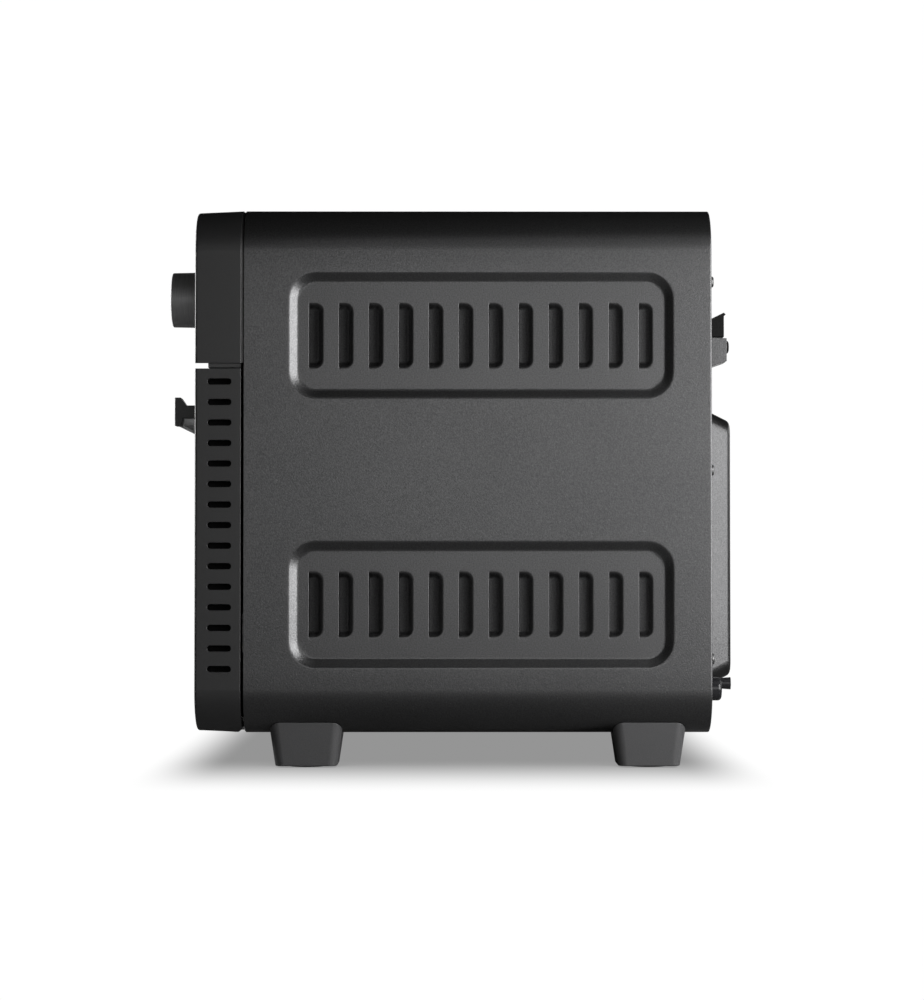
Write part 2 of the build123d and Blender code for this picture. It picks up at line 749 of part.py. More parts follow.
def foot(x, y):
    """Tapered moulded foot whose top follows the rounded edge of the body."""
    rise = foot_height + foot_climb
    grow = foot_base + (foot_top - foot_base) * rise / foot_height
    base = Pos(x, y, pad_proud) * RectangleRounded(foot_base, foot_base, foot_corner - 1)
    top = Pos(x, y, rise) * RectangleRounded(grow, grow, foot_corner)
    solid = loft([base, top])
    solid = fillet(solid.edges().group_by(Axis.Z)[0], 0.8)
    body = across_y(body_outline(-seat_gap), wrap_front, wrap_rear)
    solid = solid - body
    pocket = rod_z(x, y, pad_diameter / 2 + seat_gap, 0, pad_thickness)
    hole = rod_z(x, y, foot_screw / 2 + screw_clearance, foot_height - foot_screw_length - 1, foot_height + 1)
    return solid - pocket - hole


def foot_pad(x, y):
    pad = rod_z(x, y, pad_diameter / 2, 0, pad_thickness)
    return fillet(pad.edges().group_by(Axis.Z)[0], 0.5)


def foot_fastener(x, y):
    top = foot_height + sheet + base_sheet
    head = rod_z(x, y, foot_screw, top, top + foot_screw_head)
    head = fillet(head.edges().group_by(Axis.Z)[-1], foot_screw_head / 2)
    return head + rod_z(x, y, foot_screw / 2, foot_height - foot_screw_length, top)


def screw_from_rear(x, z, seat):
    """Pan head screw whose head sits on a face at y = seat and points forward."""
    head = rod_y(x, z, screw_head / 2, seat, seat + screw_proud)
    head = fillet(head.edges().group_by(Axis.Y)[-1], screw_proud * 0.7)
    low = seat + screw_proud - screw_cross_depth
    long = screw_cross / 2
    thin = screw_cross_width / 2
    head -= block(x - long, x + long, low, seat + screw_proud + 1, z - thin, z + thin)
    head -= block(x - thin, x + thin, low, seat + screw_proud + 1, z - long, z + long)
    return head + rod_y(x, z, screw_shank / 2, seat - screw_length, seat)


# ---- Control panel --------------------------------------------------------
def front_moulding():
    """Full drafted front form that the control panel and the door are cut from."""
    plane = Plane(origin=(0, moulding_rear, 0), x_dir=(1, 0, 0), z_dir=(0, -1, 0))
    form = loft([plane * body_outline(0), plane.offset(front_thickness) * body_outline(front_draft)])
    return fillet(form.edges().group_by(Axis.Y)[0], edge_round)


def moulding_hollow():
    """Hollow behind the front walls."""
    return across_y(body_outline(moulding_wall + front_draft), face_y + front_wall, moulding_rear + 1)


def button_holes(margin, y0, y1):
    return [across_y(rounded(x, button_z, button_width + 2 * margin, button_height + 2 * margin,
                             button_corner + margin), y0, y1) for x in button_xs]


def control_panel():
    whole = front_moulding() & block(-half_width, half_width, face_y, moulding_rear, panel_bottom, body_top)
    floor = panel_bottom + moulding_wall
    room = moulding_hollow() & block(-half_width, half_width, face_y, moulding_rear + 1, floor, body_top)
    skirt_end = half_width - moulding_wall
    skirt_front = face_y + skirt_setback
    brow = panel_bottom + brow_height
    skirt = block(-skirt_end, skirt_end, skirt_front, moulding_rear, door_top + skirt_clearance,
                  panel_bottom + 1)
    skirt += block(-skirt_end, skirt_end, skirt_front, skirt_front + moulding_wall, panel_bottom,
                   brow + moulding_wall)
    skirt += block(-skirt_end, skirt_end, face_y + front_wall - 1, skirt_front + moulding_wall, brow,
                   brow + moulding_wall)
    rim = body_outline(panel_rim_drop) - body_outline(panel_rim_drop + moulding_wall)
    rim = across_y(rim, moulding_rear - moulding_wall, wrap_front - panel_rim_gap)
    rim &= block(-half_width, half_width, face_y, wrap_front, panel_bottom, body_top)
    bosses = [rod_y(x, z, boss_diameter / 2, button_seat - 1, frame_front) for x in panel_boss_xs
              for z in panel_boss_zs]
    bosses += [rod_y(x, z, board_boss_diameter / 2, button_seat - 1, board_front) for x in board_boss_xs
               for z in board_boss_zs]
    recess = block(-skirt_end, skirt_end, face_y - 1, skirt_front, panel_bottom - 1, brow)
    panel = (whole - room - recess).fuse(skirt, rim, *bosses)
    lens = rounded(0, window_z, window_width + 2 * glass_gap, window_height + 2 * glass_gap,
                   window_corner + glass_gap)
    cuts = [across_y(lens, face_y - 1, face_y + window_lens + 0.2)]
    opening = rounded(0, window_z, window_width - 2 * window_ledge, window_height - 2 * window_ledge,
                      window_corner / 2)
    cuts.append(across_y(opening, face_y - 1, button_seat + 1))
    cuts += button_holes(button_clearance, face_y - 1, button_seat + 1)
    cuts += [rod_y(x, knob_height, bushing_diameter / 2 + 2 * seat_gap, face_y - 1, button_seat + 1)
             for x in knob_xs]
    cuts += [rod_y(x, z, screw_shank / 2, frame_front - screw_length, frame_front + 1) for x in panel_boss_xs
             for z in panel_boss_zs]
    return panel.cut(*cuts)


def display_window():
    lens = rounded(0, window_z, window_width, window_height, window_corner)
    glass = across_y(lens, face_y + 0.1, face_y + window_lens + 0.1)
    return fillet(glass.edges().group_by(Axis.Y)[0], 0.4)


def push_button(x):
    cap = across_y(rounded(x, button_z, button_width, button_height, button_corner), face_y - button_proud,
                   button_seat + 1)
    cap = fillet(cap.edges().group_by(Axis.Y)[0], button_corner / 3)
    wide = rounded(x, button_z, button_width + 2 * button_flange, button_height + 2 * button_flange,
                   button_corner + 1)
    flange = across_y(wide, button_seat + seat_gap, button_seat + seat_gap + 1.2)
    stem = rod_y(x, button_z, button_stem / 2, button_seat + 1,
                 board_front - switch_height - button_travel - seat_gap)
    return joined([cap, flange, stem])


def control_board():
    board = block(-board_width / 2, board_width / 2, board_front, board_rear,
                  knob_height - board_height / 2, knob_height + board_height / 2)
    half = switch_size / 2
    switches = [block(x - half, x + half, board_front - switch_height, board_front,
                      button_z - half, button_z + half) for x in button_xs]
    display_x = window_width / 2 - window_ledge - 1
    display_z = window_height / 2 - window_ledge - 1
    display = block(-display_x, display_x, button_seat + 1.5, board_front,
                    window_z - display_z, window_z + display_z)
    chips = [block(x, x + chip_width, board_rear, board_rear + chip_depth,
                   knob_height - chip_width / 2, knob_height + chip_width / 2) for x in chip_offsets]
    return joined([board, display] + switches + chips)


def encoder(x):
    """Rotary encoder with its threaded bushing, bored for the knob shaft."""
    half = encoder_size / 2
    case = block(x - half, x + half, board_front - encoder_depth, board_front,
                 knob_height - half, knob_height + half)
    bushing = rod_y(x, knob_height, bushing_diameter / 2, face_y - knob_gap / 2, board_front - 1)
    bore = rod_y(x, knob_height, shaft_diameter / 2 + shaft_clearance, face_y - 2, board_front - 2)
    return case + bushing - bore


def knob_shaft(x):
    return rod_y(x, knob_height, shaft_diameter / 2, front_tip + shaft_setback, board_front - 2 - 2 * seat_gap)


def knob(x):
    """Turned knob with a hub, a hollow back and a pointer groove."""
    radius = knob_diameter / 2
    rear = face_y - knob_gap
    plane = Plane(origin=(x, rear, knob_height), x_dir=(1, 0, 0), z_dir=(0, -1, 0))
    length = knob_reach - knob_gap
    body = loft([plane * Circle(radius), plane.offset(length) * Circle(radius - knob_draft)])
    body = fillet(body.edges().group_by(Axis.Y)[0], knob_edge)
    hollow = rod_y(x, knob_height, radius - knob_wall, front_tip + knob_face, rear + 1)
    hub = rod_y(x, knob_height, shaft_diameter / 2 + knob_hub, front_tip + knob_face - 1, rear - 2 * knob_gap)
    groove = block(x - pointer_width / 2, x + pointer_width / 2, front_tip - 1, front_tip + pointer_depth,
                   knob_height + pointer_start, knob_height + radius)
    bore = rod_y(x, knob_height, shaft_diameter / 2, front_tip + shaft_setback, rear + 1)
    return (body - hollow + hub) - groove - bore


# ---- Oven cavity ----------------------------------------------------------
def cavity_liner():
    outer = rounded(0, cavity_mid, cavity_width + 2 * sheet, cavity_height + 2 * sheet, cavity_corner + sheet)
    inner = rounded(0, cavity_mid, cavity_width, cavity_height, cavity_corner)
    flange = rounded(0, cavity_mid, cavity_width + 2 * cavity_flange, cavity_height + 2 * cavity_flange,
                     cavity_corner * 1.5)
    shell = across_y(outer, frame_rear, cavity_rear + sheet) + across_y(flange, frame_rear, frame_rear + sheet)
    shell -= across_y(inner, frame_rear - 1, cavity_rear)
    holes = [rod_x(y, z, heater_diameter / 2 + 0.5, -half_width, half_width)
             for y in heater_ys for z in (lower_heater_z, upper_heater_z)]
    holes.append(rod_y(0, cavity_mid, shaft_diameter / 2 + 2, cavity_rear - 1, cavity_rear + 2))
    holes.append(rod_y(-lamp_x, lamp_height, lamp_hole / 2, cavity_rear - 1, cavity_rear + 2))
    holes.append(rod_y(lamp_x, lamp_height, probe_diameter / 2 + 2 * seat_gap, cavity_rear - 1,
                       cavity_rear + 2))
    for row in range(steam_rows):
        for column in range(steam_columns):
            x = steam_pitch * (column - (steam_columns - 1) / 2)
            z = cavity_mid + steam_rise + steam_pitch * row
            holes.append(rod_y(x, z, steam_hole / 2, cavity_rear - 1, cavity_rear + 2))
    return shell.cut(*holes)


def rack_rail(side):
    """Pressed rail plate with three levels, on one side wall of the cavity."""
    wall = half_cavity
    front = frame_rear + rail_front_gap
    rear = guard_front - rail_rear_gap
    low = min(rail_levels) - rail_margin
    high = max(rail_levels) + rail_slot + rail_margin
    pieces = [block(wall - rail_sheet, wall, front, rear, low, high)]
    for level in rail_levels:
        for z in (level - rail_sheet, level + rail_slot):
            pieces.append(block(wall - rail_reach, wall - rail_sheet / 2, front, rear, z, z + rail_sheet))
    rail = joined(pieces)
    return rail if side > 0 else mirrored(rail)


def wire_rack():
    half = half_cavity - rail_sheet - rack_side_clearance - rack_wire / 2
    radius = rack_wire / 2
    front = rack_front + radius
    rear = rack_rear - radius
    path = Polyline((-half, front, rack_z), (half, front, rack_z), (half, rear, rack_z),
                    (-half, rear, rack_z), close=True)
    path = fillet(path.vertices(), rack_bend)
    start = Plane(origin=(0, front, rack_z), z_dir=(1, 0, 0))
    border = sweep(start * Circle(radius), path=path)
    bars = []
    pitch = 2 * half / (rack_bar_count + 1)
    bar_z = rack_z + radius
    for i in range(rack_bar_count):
        x = -half + pitch * (i + 1)
        bars.append(Pos(x, (front + rear) / 2, bar_z) * Rot(90, 0, 0) * Cylinder(rack_bar / 2, rear - front))
    cross = rod_x((front + rear) / 2, rack_z, rack_bar / 2, -half, half)
    return joined([border, cross] + bars)


def crumb_tray():
    half = half_cavity - tray_side_gap
    front = frame_rear + tray_front_gap
    rear = guard_front - tray_rear_gap
    low = cavity_floor + seat_gap
    outer = Pos(0, (front + rear) / 2, low) * RectangleRounded(2 * half, rear - front, tray_corner)
    inner = Pos(0, (front + rear) / 2, low + tray_sheet) * RectangleRounded(
        2 * half - 2 * tray_sheet, rear - front - 2 * tray_sheet, tray_corner - tray_sheet)
    tray = extrude(outer, amount=tray_height) - extrude(inner, amount=tray_height)
    lip = block(-tray_lip_width / 2, tray_lip_width / 2, front - tray_lip, front + tray_sheet / 2,
                low + tray_height - tray_sheet, low + tray_height)
    return tray + lip


def heater(y, z):
    reach = half_cavity + sheet + heater_cap_length - heater_cap_floor
    return rod_x(y, z, heater_diameter / 2, -reach, reach)


def heater_cap(side, y, z):
    """Ceramic end that carries one end of an element outside the cavity wall."""
    wall = half_cavity + sheet
    cap = rod_x(y, z, heater_cap_diameter / 2, wall, wall + heater_cap_length)
    neck = rod_x(y, z, heater_diameter / 2 + 4 * heater_fit, wall - sheet, wall)
    bore = rod_x(y, z, heater_diameter / 2 + heater_fit, wall - 2,
                 wall + heater_cap_length - heater_cap_floor + seat_gap)
    cap = cap + neck - bore
    return cap if side > 0 else mirrored(cap)


def insulation_blanket():
    roof = cavity_roof + sheet + seat_gap
    half = half_cavity - insulation_inset
    return block(-half, half, frame_rear + insulation_setback, cavity_rear - insulation_inset / 2,
                 roof, roof + insulation)


def door_gasket():
    inner_width = cavity_width + 2 * gasket_lap
    inner_height = cavity_height + 2 * gasket_lap
    corner = cavity_corner + gasket_lap
    outer = rounded(0, cavity_mid, inner_width + 2 * gasket_width, inner_height + 2 * gasket_width,
                    corner + gasket_width)
    inner = rounded(0, cavity_mid, inner_width, inner_height, corner)
    return across_y(outer - inner, moulding_rear + gasket_clearance, frame_front)


# ---- Convection fan -------------------------------------------------------
def fan_guard():
    """Pressed guard over the circulation fan, with two rings of slots."""
    radius = guard_diameter / 2
    dish = rod_y(0, cavity_mid, radius, guard_front, cavity_rear)
    dish = fillet(dish.edges().group_by(Axis.Y)[0], guard_bend)
    hollow = rod_y(0, cavity_mid, radius - sheet, guard_front + sheet, cavity_rear + 1)
    dish -= fillet(hollow.edges().group_by(Axis.Y)[0], guard_bend - sheet)
    slots = []
    for near, far, count in (inner_ring, outer_ring):
        for i in range(count):
            bar = Pos((near + far) / 2, 0) * RectangleRounded(far - near, guard_slot, guard_slot * 0.48)
            slots.append(across_y(Pos(0, cavity_mid) * Rot(0, 0, 360 * i / count) * bar,
                                  guard_front - 1, guard_front + 2))
    return dish.cut(*slots)


def bladed_rotor(diameter, depth, y0, count, pitch_angle):
    """Hub and flat blades set round the fan axis."""
    hub_radius = shaft_diameter / 2 + blade_hub
    hub = rod_y(0, cavity_mid, hub_radius, y0, y0 + depth)
    disc = rod_y(0, cavity_mid, diameter * 0.3, y0 + (depth - blade_sheet) / 2, y0 + (depth + blade_sheet) / 2)
    length = diameter / 2 - hub_radius + 1
    blades = []
    for i in range(count):
        blade = Rot(pitch_angle, 0, 0) * Box(length, depth, blade_sheet)
        turn = Pos(0, y0 + depth / 2, cavity_mid) * Rot(0, 360 * i / count, 0)
        blades.append(turn * Pos(hub_radius - 1 + length / 2, 0, 0) * blade)
    rotor = joined([hub, disc] + blades)
    rotor &= rod_y(0, cavity_mid, diameter / 2, y0, y0 + depth)
    return rotor - rod_y(0, cavity_mid, shaft_diameter / 2, y0 - 1, y0 + depth + 1)


def fan_shaft():
    return rod_y(0, cavity_mid, shaft_diameter / 2, guard_front + fan_side_gap,
                 cavity_rear + motor_standoff + motor_length * 0.6)


def motor_bracket():
    """Bridge that carries the motor behind the cavity."""
    rear_wall = cavity_rear + sheet
    plate_front = cavity_rear + motor_standoff
    reach = cooler_diameter / 2 + motor_bracket_side
    thick = motor_bracket_sheet
    low = cavity_mid - motor_bracket_width / 2
    high = cavity_mid + motor_bracket_width / 2
    plate = block(-reach, reach, plate_front, plate_front + thick, low, high)
    legs = []
    for side in (-1, 1):
        edge = side * reach
        legs.append(block(edge - side * thick, edge, rear_wall, plate_front + thick, low, high))
        legs.append(block(edge - side * thick, edge + side * motor_bracket_toe, rear_wall,
                          rear_wall + thick, low, high))
    bore = rod_y(0, cavity_mid, shaft_diameter / 2 + 1, plate_front - 1, plate_front + 3)
    return joined([plate] + legs) - bore


def fan_motor():
    front = cavity_rear + motor_standoff + motor_bracket_sheet
    case = rod_y(0, cavity_mid, motor_diameter / 2, front, front + motor_length)
    case = fillet(case.edges().group_by(Axis.Y)[-1], motor_edge)
    band = front + motor_band_start
    ring = rod_y(0, cavity_mid, motor_diameter / 2 + motor_band, band, band + motor_band_length)
    bore = rod_y(0, cavity_mid, shaft_diameter / 2 + shaft_clearance, front - 1, front + motor_length * 0.7)
    return case + ring - bore


def lamp_lens():
    place = Pos(-lamp_x, cavity_rear, lamp_height)
    slab = Box(4 * lamp_radius, lamp_height_out, 4 * lamp_radius)
    dome = place * (Sphere(lamp_radius) & (Pos(0, -lamp_height_out / 2, 0) * slab))
    return dome - place * Sphere(lamp_radius - lamp_wall)


def lamp_socket():
    wall = cavity_rear + sheet
    socket = rod_y(-lamp_x, lamp_height, socket_diameter / 2, wall, wall + socket_length)
    bulb = rod_y(-lamp_x, lamp_height, bulb_diameter / 2, cavity_rear - 1, wall + 1)
    bulb += Pos(-lamp_x, cavity_rear - 1, lamp_height) * Sphere(bulb_diameter / 2)
    return socket + bulb


def temperature_probe():
    wall = cavity_rear + sheet
    tube = rod_y(lamp_x, lamp_height, probe_diameter / 2, guard_front + 2, wall + probe_nut)
    nut = rod_y(lamp_x, lamp_height, probe_nut / 2, wall, wall + probe_nut / 2)
    return fillet(tube.edges().group_by(Axis.Y)[0], probe_diameter * 0.4) + nut


def power_board():
    rear = panel_front - power_board_standoff
    front = rear - board_thickness
    half = power_board_width / 2
    board = block(-half, half, front, rear, power_low, power_top)
    low = power_low + relay_rise
    relays = [block(x, x + relay_width, front - relay_height, front, low, low + relay_height)
              for x in relay_offsets]
    capacitor = rod_y(capacitor_x, power_low + capacitor_rise, capacitor_diameter / 2,
                      front - capacitor_height, front)
    low = power_low + coil_rise
    coil = block(coil_x, coil_x + coil_size, front - relay_width, front, low, low + coil_size)
    return joined([board, capacitor, coil] + relays)


# ---- Door -----------------------------------------------------------------
def rounded_rear_edge():
    """Waste outside the rounded lower rear edge of the door."""
    corner = block(-half_width - 1, half_width + 1, hinge_y, moulding_rear + 1, foot_height - 1, hinge_z)
    return corner - rod_x(hinge_y, hinge_z, hinge_round, -half_width - 2, half_width + 2)


def hinge_notch(side):
    """Room in the door for one hinge bracket over the whole swing."""
    half = hinge_plate / 2 + hinge_side_gap
    x = side * hinge_offset
    return block(x - half, x + half, hinge_y - hinge_round - hinge_side_gap, moulding_rear + 1,
                 foot_height - 1, hinge_z + hinge_round + hinge_side_gap)


def door_frame():
    whole = front_moulding() & block(-half_width, half_width, face_y, moulding_rear, foot_height, door_top)
    room = moulding_hollow() & block(-half_width, half_width, face_y, moulding_rear + 1,
                                     foot_height, door_top - moulding_wall)
    frame = whole - room - rounded_rear_edge()
    barrels = []
    for side in (-1, 1):
        x = side * hinge_offset
        barrels.append(rod_x(hinge_y, hinge_z, hinge_round - seat_gap, x - barrel_half, x + barrel_half))
    bosses = [rod_y(x, z, door_boss_diameter / 2, button_seat - 1, inner_face)
              for x in door_boss_xs for z in door_boss_zs]
    frame = frame.fuse(*barrels, *bosses)
    pocket = rounded(0, glass_z, outer_glass_width + 2 * glass_gap, outer_glass_height + 2 * glass_gap,
                     glass_corner + glass_gap)
    window = rounded(0, glass_z, outer_glass_width - 2 * glass_ledge,
                     outer_glass_height - 2 * glass_ledge, glass_corner - glass_ledge / 2)
    cuts = [across_y(pocket, face_y - 1, face_y + glass_thickness + seat_gap),
            across_y(window, face_y - 1, button_seat + 1)]
    for side in (-1, 1):
        cuts.append(hinge_notch(side))
        x = side * hinge_offset
        cuts.append(rod_x(hinge_y, hinge_z, pin_diameter / 2, x - pin_half - 0.5, x + pin_half + 0.5))
        for i in range(door_slot_count):
            z = door_top - door_slot_drop - door_slot_pitch * i
            slot = rounded(face_y + door_slot_setback + door_slot_length / 2, z, door_slot_length,
                           door_slot_height, door_slot_height * 0.48)
            slot = across_x(slot, half_width - 2 * moulding_wall, half_width + 1)
            cuts.append(slot if side > 0 else mirrored(slot))
    cuts += [rod_y(x, z, screw_shank / 2, moulding_rear - screw_length - 1, moulding_rear)
             for x in door_boss_xs for z in door_boss_zs]
    cuts += [rod_y(x, handle_rise, hole_radius, face_y - 1, button_seat + 1) for x in bracket_xs]
    return frame.cut(*cuts)


def door_inner_panel():
    margin = moulding_wall + front_draft + seat_gap
    area = block(-half_width, half_width, face_y, moulding_rear + 1,
                 hinge_z + hinge_round + 1, door_top - moulding_wall - seat_gap)
    outline = body_outline(margin)
    plate = across_y(outline, inner_face, moulding_rear) & area
    for side in (-1, 1):
        outer = side * (half_width - inner_fold_inset)
        fold = block(outer - side * inner_sheet, outer, button_seat + 1, moulding_rear, foot_height, door_top)
        plate += fold & area & across_y(outline, face_y, moulding_rear)
    window = rounded(0, glass_z, inner_window_width, inner_window_height, inner_corner)
    cuts = [across_y(window, face_y, moulding_rear + 1)]
    cuts += [rod_y(x, z, hole_radius, moulding_rear - 2, moulding_rear + 1)
             for x in door_boss_xs for z in door_boss_zs]
    return plate.cut(*cuts)


def door_glass_outer():
    pane = rounded(0, glass_z, outer_glass_width, outer_glass_height, glass_corner)
    solid = across_y(pane, face_y, face_y + glass_thickness)
    return fillet(solid.edges().group_by(Axis.Y)[0], 0.5)


def door_glass_inner():
    pane = rounded(0, glass_z, inner_window_width + 2 * inner_glass_lap,
                   inner_window_height + 2 * inner_glass_lap, inner_corner)
    return across_y(pane, inner_face - glass_thickness, inner_face)


def hinge_bracket(side):
    """Lug on the front frame that holds the hinge pin."""
    x = side * hinge_offset
    half = hinge_plate / 2
    lug = rod_x(hinge_y, hinge_z, hinge_lug, x - half, x + half)
    neck = block(x - half, x + half, hinge_y, frame_front, hinge_z - hinge_lug, hinge_z + hinge_lug)
    plate = block(x - hinge_foot_width / 2, x + hinge_foot_width / 2, frame_front - hinge_foot_sheet,
                  frame_front, hinge_z - hinge_lug, hinge_z + hinge_foot_rise)
    bore = rod_x(hinge_y, hinge_z, pin_diameter / 2 + pin_clearance, x - 6, x + 6)
    return joined([lug, neck, plate]) - bore


def hinge_pin(side):
    x = side * hinge_offset
    return rod_x(hinge_y, hinge_z, pin_diameter / 2, x - pin_half, x + pin_half)


def door_arm(side):
    """Curved arm, centred on the hinge axis, that guides the door."""
    x = side * arm_offset
    low = x - arm_sheet / 2
    high = x + arm_sheet / 2
    band = Circle(arm_radius) - Circle(arm_radius - arm_band)
    arm = across_x(Pos(hinge_y, hinge_z) * band, low, high)
    arm &= block(low - 1, high + 1, moulding_rear, hinge_y + arm_radius, hinge_z, hinge_z + arm_radius)
    tab = block(x - arm_tab / 2, x + arm_tab / 2, moulding_rear, moulding_rear + arm_tab_sheet,
                hinge_z + arm_radius - arm_tab_drop, hinge_z + arm_radius + arm_tab_rise)
    return arm + tab


def door_spring(side):
    """Closing spring behind one door arm, with its anchor at the rear."""
    x = side * arm_offset
    start = hinge_y + arm_radius + spring_gap
    z = hinge_z + spring_diameter / 2 + spring_rise
    turns = round(spring_length / spring_pitch)
    core = rod_y(x, z, spring_diameter / 2 - spring_wire * 0.8, start, start + spring_length)
    coils = [rod_y(x, z, spring_diameter / 2, start + spring_pitch * i, start + spring_pitch * i + spring_wire)
             for i in range(turns)]
    front = start + spring_length - anchor_lap
    rear = front + anchor_length
    half = arm_sheet / 2
    anchor = block(x - half, x + half, front, rear, foot_height, z + spring_diameter / 2)
    anchor &= across_y(body_outline(sheet + seat_gap), front, rear)
    return joined([core, anchor] + coils)


def handle_grip(clearance, reach):
    """Flat grip with a short lip turned back towards the door."""
    rear = handle_front + handle_plate + clearance
    low = handle_low - clearance + 0.3
    high = handle_low + handle_bar_height + clearance
    plate = block(-reach, reach, handle_front - clearance + 0.5, rear, low, high)
    lip = block(-reach, reach, rear - 1, rear + handle_lip, low, low + handle_lip_height + 2 * clearance)
    return plate + lip


def handle_bar():
    reach = handle_length / 2 - bracket_width + handle_tongue
    bar = handle_grip(0, reach)
    front_edges = bar.edges().group_by(Axis.Y)[0].filter_by(Axis.X)
    return fillet(front_edges, handle_edge)


def handle_bracket(x):
    """End cap of the handle: a plate round the end of the bar, a gusset and a post."""
    half = bracket_width / 2
    plate_rear = handle_front + handle_plate + handle_edge
    top = handle_low + handle_height
    low = handle_rise - bracket_height / 2
    high = handle_rise + bracket_height / 2
    profile = Polyline((handle_front, handle_low), (plate_rear, handle_low), (plate_rear + 1, low),
                       (face_y, low), (face_y, high), (plate_rear + bracket_gusset, high),
                       (plate_rear, top - 0.5), (plate_rear - 0.5, top), (handle_front, top), close=True)
    cap = across_x(make_face(profile), x - half, x + half)
    cap = fillet(cap.edges().group_by(Axis.Y)[0], handle_edge / 2)
    grip = handle_grip(seat_gap / 2, handle_length / 2 - bracket_width + handle_tongue + seat_gap / 2)
    return cap - grip - rod_y(x, handle_rise, screw_shank / 2, face_y - handle_screw_reach - 1, face_y + 1)


def handle_screw(x):
    head = rod_y(x, handle_rise, screw_head / 2, button_seat, button_seat + screw_proud)
    return head + rod_y(x, handle_rise, screw_shank / 2, face_y - handle_screw_reach, button_seat)


def rack_magnet(x):
    """Magnet in its holder that draws the rack out as the door opens."""
    holder = rod_y(x, rack_z, magnet_diameter / 2, moulding_rear, magnet_tip)
    return fillet(holder.edges().group_by(Axis.Y)[-1], magnet_edge)


def door_screw(x, z):
    head = rod_y(x, z, screw_head / 2, moulding_rear, moulding_rear + door_screw_head)
    return head + rod_y(x, z, screw_shank / 2, moulding_rear - screw_length, moulding_rear)


def panel_screw(x, z):
    head = rod_y(x, z, screw_head / 2, frame_rear, frame_rear + screw_proud)
    return head + rod_y(x, z, screw_shank / 2, frame_front - screw_length + 1, frame_rear)


# ---- Every node -----------------------------------------------------------
def build_nodes():
    nodes = {
        "outer_wrap": outer_wrap(),
        "base_pan": base_pan(),
        "front_frame": front_frame(),
        "rear_panel": rear_panel(),
        "motor_cover": motor_cover(),
        "wall_spacers": group([Pos(x, 0, 0) * wall_spacer() for x in spacer_xs]),
        "cord_hooks": group([Pos(x, 0, 0) * spacer_hook() for x in spacer_xs]),
        "wall_bumpers": group([Pos(x, 0, 0) * bumper() for x in spacer_xs]),
        "cord_gland": cord_gland(),
        "terminal_block": terminal_block(),
        "foot_pads": group([foot_pad(x, y) for x in foot_xs for y in foot_ys]),
        "control_panel": control_panel(),
        "display_window": display_window(),
        "control_board": control_board(),
        "encoders": group([encoder(x) for x in knob_xs]),
        "cavity_liner": cavity_liner(),
        "rack_rails": group([rack_rail(-1), rack_rail(1)]),
        "wire_rack": wire_rack(),
        "crumb_tray": crumb_tray(),
        "upper_heaters": group([heater(y, upper_heater_z) for y in heater_ys]),
        "lower_heaters": group([heater(y, lower_heater_z) for y in heater_ys]),
        "heater_caps": group([heater_cap(side, y, z) for side in (-1, 1) for y in heater_ys
                              for z in (lower_heater_z, upper_heater_z)]),
        "insulation_blanket": insulation_blanket(),
        "door_gasket": door_gasket(),
        "fan_guard": fan_guard(),
        "fan_blade": bladed_rotor(blade_diameter, blade_depth, guard_front + fan_side_gap + 2,
                                  blade_count, blade_pitch),
        "cooling_fan": bladed_rotor(cooler_diameter, cooler_depth, cavity_rear + sheet + cooler_gap,
                                    cooler_count, cooler_pitch),
        "fan_shaft": fan_shaft(),
        "motor_bracket": motor_bracket(),
        "fan_motor": fan_motor(),
        "lamp_lens": lamp_lens(),
        "lamp_socket": lamp_socket(),
        "temperature_probe": temperature_probe(),
        "power_board": power_board(),
        "rear_screws": group([screw_from_rear(x, z, wrap_rear) for x, z in rear_screws_at]
                             + [screw_from_rear(x, z, panel_rear + sheet) for x, z in cover_screws_at]),
        "body_screws": group([panel_screw(x, z) for x in panel_boss_xs for z in panel_boss_zs]
                             + [foot_fastener(x, y) for x in foot_xs for y in foot_ys]),
        "hinge_brackets": group([hinge_bracket(-1), hinge_bracket(1)]),
        "door_springs": group([door_spring(-1), door_spring(1)]),
        "door_frame": door_frame(),
        "door_inner_panel": door_inner_panel(),
        "door_glass_outer": door_glass_outer(),
        "door_glass_inner": door_glass_inner(),
        "handle_bar": handle_bar(),
        "handle_brackets": group([handle_bracket(x) for x in bracket_xs]),
        "hinge_pins": group([hinge_pin(-1), hinge_pin(1)]),
        "door_arms": group([door_arm(-1), door_arm(1)]),
        "rack_magnets": group([rack_magnet(x) for x in magnet_xs]),
        "door_screws": group([door_screw(x, z) for x in door_boss_xs for z in door_boss_zs]
                             + [handle_screw(x) for x in bracket_xs]),
    }
    for name, x in zip(("left", "right"), knob_xs):
        nodes["knob_" + name] = knob(x)
        nodes["knob_shaft_" + name] = knob_shaft(x)
    for number, x in enumerate(button_xs, start=1):
        nodes["button_" + str(number)] = push_button(x)
    for side, x in zip(("left", "right"), foot_xs):
        for end, y in zip(("front", "rear"), foot_ys):
            nodes["foot_" + end + "_" + side] = foot(x, y)
    return nodes


def main():
    os.makedirs("parts", exist_ok=True)
    for name, shape in build_nodes().items():
        export_step(shape, "parts/" + name + ".step")
        box = shape.bounding_box()
        print(name, "solids", len(shape.solids()), "size", round(box.size.X, 1), round(box.size.Y, 1),
              round(box.size.Z, 1))


main()
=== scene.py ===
"""Looks of the toaster oven: finishes, the pressed skin of its wrap, light and camera, in metres."""

